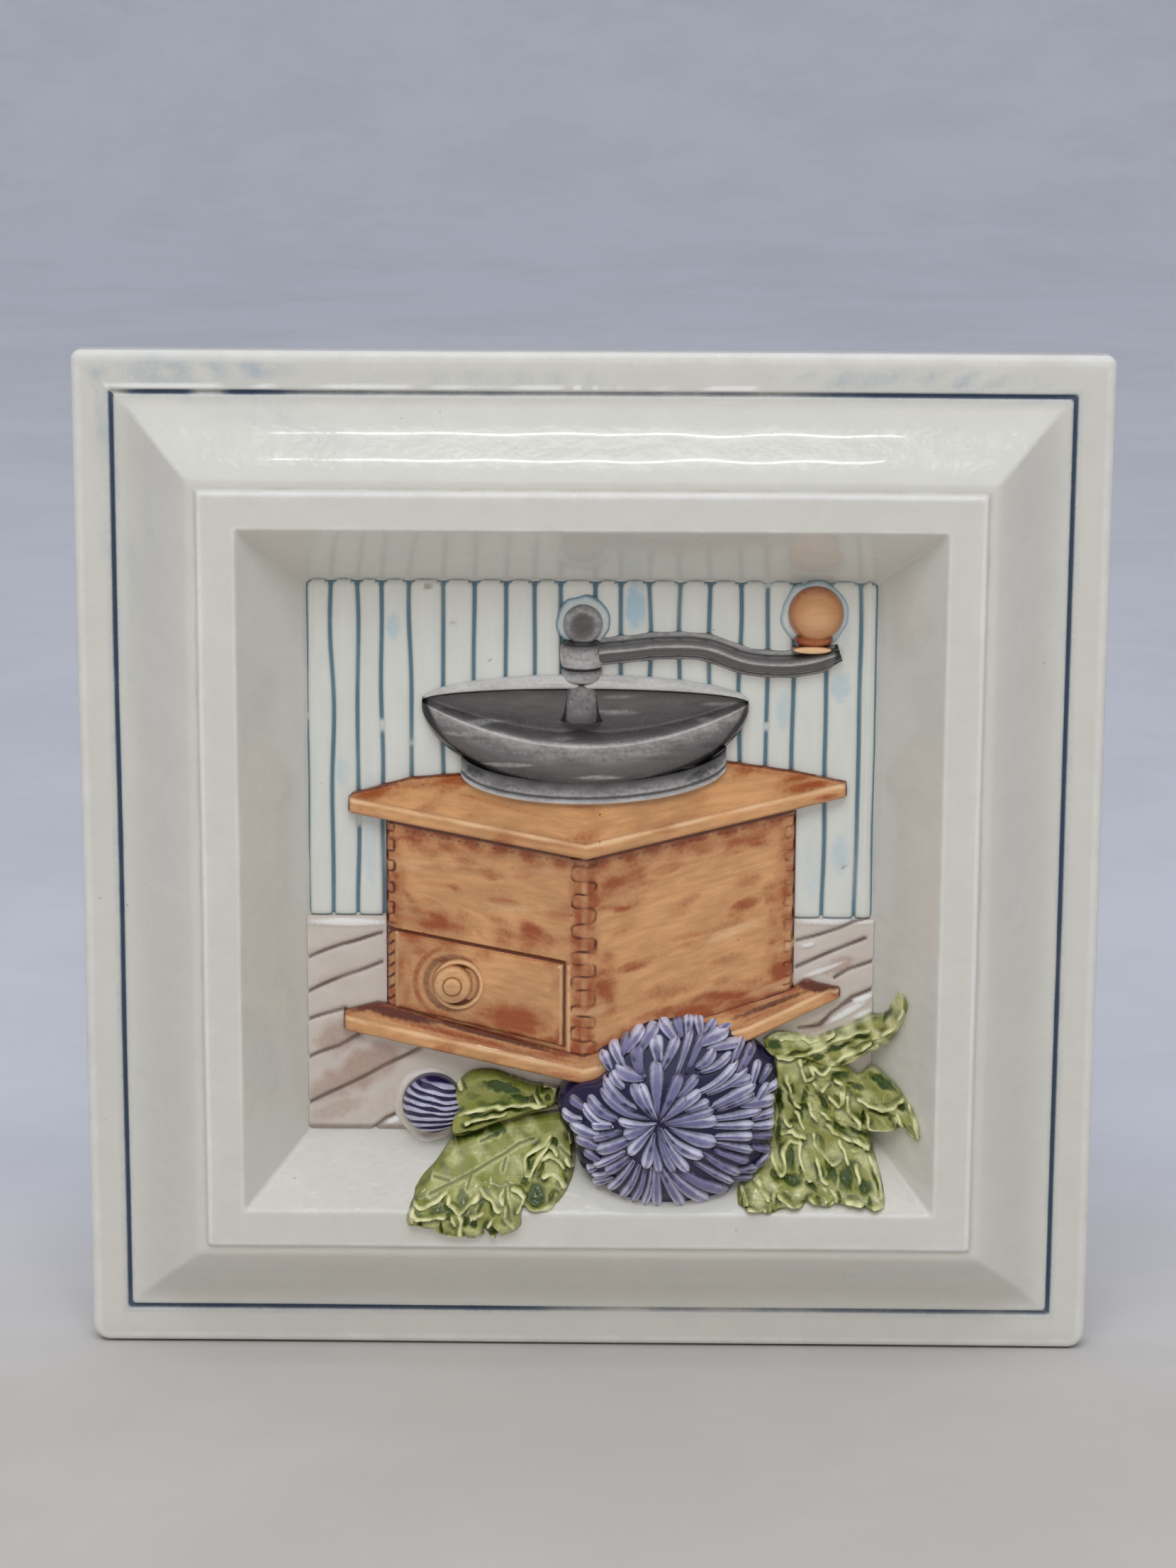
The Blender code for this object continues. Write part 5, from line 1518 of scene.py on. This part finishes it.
BUD_LEAF_HOLLOWS = (
    (-17.1, -45.6, 4.6, 1.3, -14, 1), (-13.5, -47.8, 2.6, 0.8, -10, 0.9), (-16.8, -50.5, 4.4, 0.35, 8, 0.95),
    (-21.8, -52.6, 3, 0.4, 16, 0.9), (-24.4, -55.0, 1.8, 0.6, 10, 1), (-10.3, -46.4, 0.6, 0.9, 0, 0.8),
    (-23.3, -47.5, 1.8, 0.8, 0, 0.45), (-8.2, -47.5, 0.5, 0.8, 0, 0.9), (-20.0, -54.6, 4.6, 0.8, 16, 1),
)
RIGHT_LEAVES = (
    (
        (
            (36.5, -38.0), (44, -39.4), (50.4, -40.7), (53.3, -43.0), (56.1, -41.2), (59.5, -42.7),
            (61.8, -44.9), (63.7, -47.7), (65.0, -52.0),
        ),
        (
            (37, -46), (42, -50), (47, -52), (52, -53.6), (55.2, -54.4), (59.8, -53.0), (61.6, -51.8),
            (63.0, -53.0), (64.6, -53.4),
        ),
        2.1,
    ),
    (
        ((37, -38.5), (37, -46), (36, -52), (34.5, -57), (32, -61), (29.5, -63.5), (29.4, -66.0)),
        (
            (44, -40), (50, -46), (55.5, -54.5), (56.7, -58.3), (58.0, -62.5), (58.2, -66.2),
            (55.9, -66.7), (55.4, -65.0), (54.6, -66.4), (50.4, -66), (49.1, -65.2), (47.5, -66.4),
            (43.3, -65.5), (41.8, -66.6), (38.3, -66.6), (35.9, -67.6), (35.4, -66.0), (34.7, -67.0),
            (31.0, -67.0),
        ),
        1.9,
    ),
)
LEFT_RIDGES = (
    ((-34.3, -65.9), (-32.8, -66.4), (-30, -65.6), (-28, -64.1)),
    ((-27.4, -64.7), (-27, -66.3), (-25.2, -66.9), (-23, -65.9), (-21.8, -64.8)),
    ((-21.3, -63.7), (-19.8, -64.9), (-17.5, -66.9)),
    ((-16.3, -63.7), (-17.3, -64.8), (-16.8, -65.7)),
    ((-14.9, -63.5), (-12.5, -64.7), (-12.9, -66), (-13.9, -66.9)),
    ((-12.1, -62), (-12.7, -59.3), (-11.6, -58), (-9.7, -57.1), (-7.6, -55.2)),
    ((-11.7, -62.4), (-10.2, -59.3), (-8.8, -57.7), (-7.9, -56.3)),
    ((-7.6, -57.2), (-6.3, -58)),
    ((-4.5, -59), (-2.9, -60.3)),
    ((-3.9, -54.7), (-3.4, -56.4)),
    ((-9, -61.8), (-7.3, -61.3), (-5.8, -62), (-4.6, -63.3)),
    ((-11.6, -66.5), (-9.5, -66.9), (-7.1, -66), (-6.4, -64.6)),
    ((-34.2, -67.8), (-33.1, -68.3), (-30.7, -68), (-28.1, -68)),
    ((-27, -68), (-26.2, -69.4)),
    ((-25.2, -67.5), (-24.8, -69.2), (-25.2, -71.8)),
    ((-22.9, -68), (-20.6, -67.4)),
    ((-19.7, -69.5), (-18.4, -68)),
    ((-34.6, -66.9), (-34.5, -68.6)),
    ((-27.5, -71.8), (-25.2, -72.3)),
    ((-21.1, -72.1), (-18.5, -71.8)),
    ((-16.2, -66.7), (-15.9, -68.9), (-14.5, -70.1)),
    ((-9.1, -59), (-7, -58.6), (-4.9, -60.4)),
)
LEFT_VEINS = (
    (
        (-31.2, -64.5), (-28, -63.3), (-23.1, -61.5), (-19.7, -59.7), (-16.2, -58), (-13.8, -56.5),
        (-10.9, -55.8),
    ),
    ((-16.4, -59), (-17, -60.9)), ((-23.1, -61.3), (-23.8, -63.7)), ((-30.5, -61.9), (-27.5, -62.6)),
    ((-16.3, -63.5), (-16.3, -65.9)), ((-5.8, -57.2), (-3.2, -59)), ((-18, -55), (-21.5, -56.3)),
)
LEFT_HOLLOWS = (
    (-18.6, -54.1, 2.4, 1.7, 10, 0.9), (-23.3, -55, 4.6, 0.9, 20, 0.95), (-24.7, -65.3, 1.2, 1.8, 10, 0.7),
    (-29, -66.9, 3, 0.8, 15, 0.8), (-22.5, -69.2, 0.8, 1.3, 0, 1), (-24, -69.1, 0.6, 1.1, 0, 1),
    (-18.5, -70.7, 1.2, 0.7, -30, 1), (-17.7, -71.8, 0.5, 0.9, 0, 1), (-28.7, -70.1, 0.4, 1.5, 0, 0.9),
    (-32.8, -69.2, 0.4, 0.7, 0, 0.9), (-10.2, -64.7, 2, 2.4, 0, 1), (-7.1, -65, 1, 1.2, 0, 0.8),
    (-12.2, -60.4, 0.4, 2, 0, 0.9), (-11.3, -58.7, 1.2, 0.4, 30, 0.9), (-6.9, -56.4, 0.7, 0.9, 0, 1),
    (-27.5, -67.8, 0.5, 1.3, 0, 0.8), (-21.2, -66.3, 0.5, 1.6, -20, 0.8), (-18.8, -66.9, 0.5, 1.6, 30, 0.8),
    (-12.7, -67.3, 0.4, 1.4, 0, 0.8), (-15.9, -66.7, 0.4, 1.8, 0, 0.7), (-12.5, -62.8, 1.2, 0.6, 20, 0.8),
    (-9.3, -60.4, 0.4, 1.2, -20, 0.8), (-32.2, -62.6, 2.6, 0.5, 40, 0.5), (-34.7, -64.7, 0.4, 2.2, -10, 0.6),
)
RIGHT_RIDGES = (
    (
        (35, -37.7), (36.8, -39), (40, -39.1), (42.6, -38.5), (45.1, -37.5), (48.3, -35.7), (52.6, -33.7),
        (54.9, -33.2),
    ),
    ((37.9, -35.5), (40.4, -34.9), (44.4, -35.7)),
    ((41.7, -39.7), (42.6, -43.5), (44.2, -42.9), (43.6, -39.7)),
    ((39, -42.6), (40, -46.9), (41.7, -49.2)), ((47.8, -40.4), (50.1, -38.6), (52.9, -37)),
    ((44.4, -41.1), (46.3, -42.2), (47.6, -41.1)), ((44.5, -44.2), (46, -45.8), (47.1, -44.5)),
    ((47.6, -46.9), (49.4, -48.9), (49.9, -46.1)),
    ((51.2, -46.8), (51.5, -50), (53.5, -51.8), (53.8, -53.4)),
    ((53.3, -47.2), (56.8, -48.7), (59.8, -47.6), (61.5, -45.7)),
    ((55.1, -50.1), (55.6, -53.1), (57.8, -53.1), (59.8, -52), (60.3, -49.6)),
    ((62.1, -44.8), (63.1, -46.6), (63.7, -49.2), (64.4, -52.1)),
    ((60.6, -48.8), (61.6, -51), (63.4, -52.7)), ((38.9, -51.9), (40.2, -53.1)),
    ((38.4, -54.3), (40.4, -54.1), (42.8, -55.3)),
    ((36.1, -57.5), (37.3, -60.9), (38.7, -60.9), (38.5, -57.5), (40, -55.8), (41.9, -56.2)),
    ((41.7, -56.9), (42.1, -59.7), (43.6, -62.2)),
    ((44.6, -54.5), (44.9, -56.4), (47, -58.6), (48.4, -59.7), (49.7, -59)),
    ((49.7, -55.8), (51.4, -59.3)), ((47.2, -52.8), (50, -54.8), (53.2, -55.8), (55.5, -56.5)),
    ((52.4, -57.3), (55.5, -57.1)), ((53, -59.7), (53.4, -62.5)),
    ((55.6, -58.3), (56.9, -60.9), (57.8, -64.5)), ((33.3, -62.2), (35.4, -64.7)),
    ((30.3, -63.2), (30.9, -65.7)), ((31.4, -66.7), (34.6, -66.7)), ((36.3, -64.3), (35.7, -66.5)),
    ((37.7, -64.5), (40.1, -65.7), (41.9, -65.8)), ((43.4, -64.7), (45.4, -66.1)),
    ((47.8, -63.5), (48.8, -64.8), (47.5, -66)), ((50.8, -65.2), (53.8, -65.5)),
    ((55.5, -66), (58.1, -66.3)), ((43.6, -47.6), (44, -50.4), (45.1, -51.8)),
    ((40.9, -50.1), (42.5, -53.1)), ((46.2, -50.1), (48.3, -52.4)),
    ((48.7, -43.3), (50.5, -45.4), (50.1, -48.3)), ((45.2, -58.6), (45.8, -61.4), (47.1, -62.5)),
)
RIGHT_HOLLOWS = (
    (36.5, -36.1, 1.4, 1.3, 0, 1), (44, -39.9, 2.4, 0.6, 24, 0.9), (48.3, -37.2, 3.2, 0.5, 28, 0.95),
    (41.5, -38.7, 1, 0.4, 20, 0.8), (37.7, -48.3, 0.7, 3.6, 0, 0.9), (37.6, -53.8, 0.6, 3.4, 0, 0.9),
    (40, -47.6, 0.5, 1.6, 20, 0.9), (42.6, -46.9, 0.6, 1.6, 0, 0.9), (42.7, -49, 0.8, 0.8, 0, 0.8),
    (46.5, -48.3, 0.5, 2.2, 35, 1), (40.6, -52.1, 1, 0.7, 0, 0.8), (49.8, -42.6, 2.2, 1, 0, 0.9),
    (52.9, -44.7, 1.4, 0.8, 0, 0.8), (57.8, -43.1, 3.2, 1.2, -22, 1), (57.8, -49.4, 2.2, 0.5, 0, 0.9),
    (54.2, -50.9, 0.3, 2, 0, 1), (49.3, -52.8, 2.2, 0.5, -25, 1), (53.3, -54.1, 2.8, 0.5, -20, 1),
    (40, -58.6, 0.8, 2.4, 0, 0.9), (40, -62.1, 2.4, 1, -10, 1), (36.9, -61.4, 0.8, 1.2, 40, 0.8),
    (43.9, -63, 1.6, 0.6, -30, 0.9), (47.9, -60.9, 0.7, 2.4, 25, 0.9), (50.7, -61.7, 1.6, 2.2, 0, 1),
    (54.5, -63.2, 1.6, 1.3, 0, 1), (56.8, -62.2, 0.5, 1.8, 20, 0.9), (49.1, -64.6, 0.6, 1.3, 0, 0.9),
    (35.9, -66, 0.4, 1.8, 0, 1), (30.6, -65.3, 0.5, 1.7, 0, 1), (55.4, -65.6, 0.4, 1.5, 0, 1),
    (39.6, -65.1, 1.8, 0.4, -40, 0.9), (45.2, -64.8, 0.8, 0.4, -40, 0.8), (53.9, -57.2, 2.6, 0.4, -8, 0.9),
    (46.1, -55.8, 0.3, 1.2, 20, 0.6), (43.3, -45.4, 0.4, 0.8, 0, 0.7), (49, -47.6, 0.3, 1.2, 20, 0.6),
    (61.5, -47.2, 0.9, 0.9, 0, 0.9), (60.1, -50.7, 0.4, 1.4, 0, 0.9), (51.5, -43.9, 0.9, 0.5, 0, 0.8),
    (45.4, -45.4, 0.4, 1, 30, 0.8), (41.9, -60.9, 0.4, 1.6, 20, 0.7),
)


def build_leaves():
    left = leaf(*LEFT_LEAF, 1.9, LEFT_RIDGES, LEFT_HOLLOWS, LEFT_VEINS)
    add_piece("left_leaf", [left], material("green_glaze"))
    bud_leaf = leaf(*BUD_LEAF, 2.4, BUD_LEAF_RIDGES, BUD_LEAF_HOLLOWS, size=(110, 70), light=0.1, wash=1.0)
    add_piece("bud_leaf", [bud_leaf], material("green_glaze"))
    right = [
        leaf(*places, RIGHT_RIDGES, RIGHT_HOLLOWS, size=(150, 106), light=0.42, creased=1.0)
        for places in RIGHT_LEAVES
    ]
    add_piece("right_leaves", right, material("green_glaze"))


STEM = (
    (
        (34.5, -36.1), (36.8, -34.5), (40.4, -34.7), (44.4, -35.5), (48.3, -34.1), (53.3, -32.1),
        (55.4, -30.9), (58.1, -29.8), (59.5, -27.1), (60.5, -24.6),
    ),
    (
        (34.9, -37.6), (36.8, -39.4), (40, -39.7), (43.6, -40.2), (47.2, -41.9), (50.2, -41.2),
        (53.2, -39.3), (56.2, -37.2), (59.2, -34.6), (61.2, -30.6), (62.2, -27.1), (61.7, -25),
    ),
)
STEM_RIDGES = (
    RIGHT_RIDGES[0],
    ((37.9, -35.5), (40.4, -35.1), (44.4, -35.8), (48.3, -34.5)),
    ((47.8, -40.6), (50.1, -38.9), (52.9, -37.4), (55.4, -35.8)),
    ((55.8, -34.5), (58.3, -32.8), (60.1, -30.8), (61.3, -27.9)),
    ((50.2, -40.9), (53.4, -38.8), (57, -36.1)),
)
STEM_HOLLOWS = (
    (36.5, -36.5, 1.5, 1.4, 0, 1), (45.4, -39.1, 1.4, 0.8, 24, 0.9), (49.4, -36.8, 3.4, 0.5, 26, 1),
    (53.6, -34.6, 1.8, 0.4, 20, 0.9), (40.6, -38.2, 1.6, 0.4, 10, 0.8), (58.6, -29.6, 2, 0.5, 55, 0.9),
    (53.4, -36.2, 2, 0.4, 28, 0.6),
)


def build_stem():
    """The stem up over the bevel, ridged along its way."""
    stem = leaf(*STEM, 1.7, STEM_RIDGES, STEM_HOLLOWS, size=(150, 44), light=0.6)
    add_piece("stem", [stem], material("green_glaze"))


# The stage.

CAMERA_PLACE = (0.0061, -0.7352, 0.1776)
CAMERA_FORWARD = (-0.00894, 0.97613, -0.21702)
CAMERA_UP = (-0.00692, 0.21696, 0.97616)
FOCAL_PIXELS = 5390.8
SENSOR = 36.0


def build_camera():
    data = bpy.data.cameras.new("camera")
    data.sensor_width = SENSOR
    data.lens = SENSOR * FOCAL_PIXELS / IMAGE_LONG_SIDE
    camera = bpy.data.objects.new("camera", data)
    forward, up = Vector(CAMERA_FORWARD).normalized(), Vector(CAMERA_UP)
    right = forward.cross(up).normalized()
    up = right.cross(forward)
    turn = Matrix((right, up, -forward)).transposed().to_4x4()
    camera.matrix_world = Matrix.Translation(CAMERA_PLACE) @ turn
    bpy.context.scene.collection.objects.link(camera)
    bpy.context.scene.camera = camera


def build_backdrop():
    """A round pale floor that curves up into a wall a good way off, swept round the plaque. The floor in
    front is warmer than the rest, and soft creases cross it."""
    floor_z = LOW.z - 0.0002
    flat, curve, top = 2.4, 1.2, 3.0
    bow = np.linspace(0, math.pi / 2, 14)
    radius = np.concatenate([np.linspace(0.02, flat, 14), flat + curve * np.sin(bow[1:]), [flat + curve]])
    height = np.concatenate([np.zeros(14), curve * (1 - np.cos(bow[1:])), [top]]) + floor_z
    angle = np.linspace(0, math.tau, 96, endpoint=False)
    radius, height = radius[:, None], height[:, None]
    points = place(radius * np.cos(angle), radius * np.sin(angle), height).reshape(-1, 3)
    quads, index = grid_faces(len(radius), 96, closed=True)
    mesh = bpy.data.meshes.new("backdrop")
    mesh.from_pydata(points.tolist(), [], quads[:, ::-1].tolist() + [index[0].tolist()])
    mesh.shade_smooth()
    g = Glaze("backdrop")
    spot = g.node("ShaderNodeTexCoord", out="Object")
    y = g.node("ShaderNodeSeparateXYZ", sockets={0: spot}, out=1)
    cloud = g.noise(spot, 7.0, detail=5.0, rough=0.6)
    creases = g.noise(spot, 26.0, detail=4.0, rough=0.55, distortion=0.6)
    ground_hue = g.mix(g.step(y, 0.15, -0.05), hue("backdrop"), hue("floor_front"))
    darker = g.mix(0.12, ground_hue, (0.30, 0.30, 0.31))
    g.plug(g.shader, "Base Color", g.mix(g.step(cloud * 0.7 + creases * 0.3, 0.38, 0.6), darker, ground_hue))
    g.shader.inputs["Roughness"].default_value = 0.65
    bump = g.node("ShaderNodeBump", sockets={"Strength": 0.25, "Distance": 0.002, "Height": creases})
    g.plug(g.shader, "Normal", bump)
    mesh.materials.append(g.material)
    backdrop = bpy.data.objects.new("backdrop", mesh)
    bpy.context.scene.collection.objects.link(backdrop)


def add_light(name, place_of, target, size, power, glossy, colour_of=(1, 1, 1)):
    data = bpy.data.lights.new(name, "AREA")
    data.shape = "RECTANGLE"
    data.size, data.size_y = size
    data.energy = power
    data.color = colour_of
    light = bpy.data.objects.new(name, data)
    aim = Vector(target) - Vector(place_of)
    light.rotation_euler = aim.to_track_quat("-Z", "Y").to_euler()
    light.location = place_of
    light.visible_glossy = glossy
    light.visible_camera = False
    bpy.context.scene.collection.objects.link(light)


def build_stage():
    build_camera()
    build_backdrop()
    add_light("key", (-0.05, -1.0, 1.2), (0, 0, 0), (1.0, 0.7), 8.7, False, (0.93, 0.97, 1.0))
    add_light("bounce", (0.0, -1.3, -0.02), (0, 0, 0), (1.2, 0.14), 2.3, False, (1.0, 0.93, 0.82))
    add_light("ceiling", (0.0, -0.2, 1.55), (0, 0, 0.02), (0.34, 0.012), 0.6, True)
    world = bpy.data.worlds.new("room")
    world.use_nodes = True
    world.node_tree.nodes["Background"].inputs["Color"].default_value = (0.96, 0.97, 1.0, 1)
    world.node_tree.nodes["Background"].inputs["Strength"].default_value = 0.74
    bpy.context.scene.world = world
    bpy.context.scene.view_settings.view_transform = "Standard"


# The operators and the panel.


class PieceOperator:
    """What every operator here shares."""

    bl_options = {"REGISTER", "UNDO"}

    def execute(self, context):
        type(self).build()
        return {"FINISHED"}


class PLAQUE_OT_stage(PieceOperator, bpy.types.Operator):
    """Add the camera, the lights and the backdrop"""

    bl_idname = "plaque.stage"
    bl_label = "Stage"
    build = staticmethod(build_stage)


class PLAQUE_OT_frame(PieceOperator, bpy.types.Operator):
    """Add the casting with its moulded frame and its hollow back"""

    bl_idname = "plaque.frame"
    bl_label = "Frame"
    build = staticmethod(build_frame)


class PLAQUE_OT_wall_boards(PieceOperator, bpy.types.Operator):
    """Add the wall boards with their painted grooves"""

    bl_idname = "plaque.wall_boards"
    bl_label = "Wall Boards"
    build = staticmethod(build_wall_boards)


class PLAQUE_OT_floor_boards(PieceOperator, bpy.types.Operator):
    """Add the slanting floor boards"""

    bl_idname = "plaque.floor_boards"
    bl_label = "Floor Boards"
    build = staticmethod(build_floor_boards)


class PLAQUE_OT_mill_case(PieceOperator, bpy.types.Operator):
    """Add the mill's case with its finger joints"""

    bl_idname = "plaque.mill_case"
    bl_label = "Mill Case"
    build = staticmethod(build_mill_case)


class PLAQUE_OT_mill_drawer(PieceOperator, bpy.types.Operator):
    """Add the mill's drawer and its knob"""

    bl_idname = "plaque.mill_drawer"
    bl_label = "Mill Drawer"
    build = staticmethod(build_mill_drawer)


class PLAQUE_OT_mill_boards(PieceOperator, bpy.types.Operator):
    """Add the mill's top board and base board"""

    bl_idname = "plaque.mill_boards"
    bl_label = "Mill Boards"
    build = staticmethod(build_mill_boards)


class PLAQUE_OT_hopper(PieceOperator, bpy.types.Operator):
    """Add the hopper, its flange, its post and the nut"""

    bl_idname = "plaque.hopper"
    bl_label = "Hopper"
    build = staticmethod(build_hopper)


class PLAQUE_OT_crank(PieceOperator, bpy.types.Operator):
    """Add the crank with its wooden knob"""

    bl_idname = "plaque.crank"
    bl_label = "Crank"
    build = staticmethod(build_crank)


class PLAQUE_OT_flower(PieceOperator, bpy.types.Operator):
    """Add the chrysanthemum"""

    bl_idname = "plaque.flower"
    bl_label = "Flower"
    build = staticmethod(build_flower)


class PLAQUE_OT_bud(PieceOperator, bpy.types.Operator):
    """Add the striped bud"""

    bl_idname = "plaque.bud"
    bl_label = "Bud"
    build = staticmethod(build_bud)


class PLAQUE_OT_leaves(PieceOperator, bpy.types.Operator):
    """Add the leaves on both sides of the flower"""

    bl_idname = "plaque.leaves"
    bl_label = "Leaves"
    build = staticmethod(build_leaves)


class PLAQUE_OT_stem(PieceOperator, bpy.types.Operator):
    """Add the stem over the bevel"""

    bl_idname = "plaque.stem"
    bl_label = "Stem"
    build = staticmethod(build_stem)


OPERATORS = (
    PLAQUE_OT_stage, PLAQUE_OT_frame, PLAQUE_OT_wall_boards, PLAQUE_OT_floor_boards, PLAQUE_OT_mill_case,
    PLAQUE_OT_mill_drawer, PLAQUE_OT_mill_boards, PLAQUE_OT_hopper, PLAQUE_OT_crank, PLAQUE_OT_flower,
    PLAQUE_OT_bud, PLAQUE_OT_leaves, PLAQUE_OT_stem,
)


class PLAQUE_PT_panel(bpy.types.Panel):
    """The plaque's panel in the sidebar"""

    bl_label = "Still Life Plaque"
    bl_idname = "PLAQUE_PT_panel"
    bl_space_type = "VIEW_3D"
    bl_region_type = "UI"
    bl_category = "Plaque"

    def draw(self, context):
        for made in OPERATORS:
            self.layout.operator(made.bl_idname)
        for group in (context.scene.plaque_sizes, context.scene.plaque_colours):
            box = self.layout.box()
            for name in group.__annotations__:
                box.prop(group, name)


CLASSES = (PlaqueSizes, PlaqueColours, *OPERATORS, PLAQUE_PT_panel)


def register():
    for made in CLASSES:
        bpy.utils.register_class(made)
    bpy.types.Scene.plaque_sizes = PointerProperty(type=PlaqueSizes)
    bpy.types.Scene.plaque_colours = PointerProperty(type=PlaqueColours)


def unregister():
    del bpy.types.Scene.plaque_colours
    del bpy.types.Scene.plaque_sizes
    for made in reversed(CLASSES):
        bpy.utils.unregister_class(made)


def main():
    register()
    for made in OPERATORS:
        step = getattr(bpy.ops.plaque, made.bl_idname.split(".")[1])
        step()


if __name__ == "__main__":
    main()
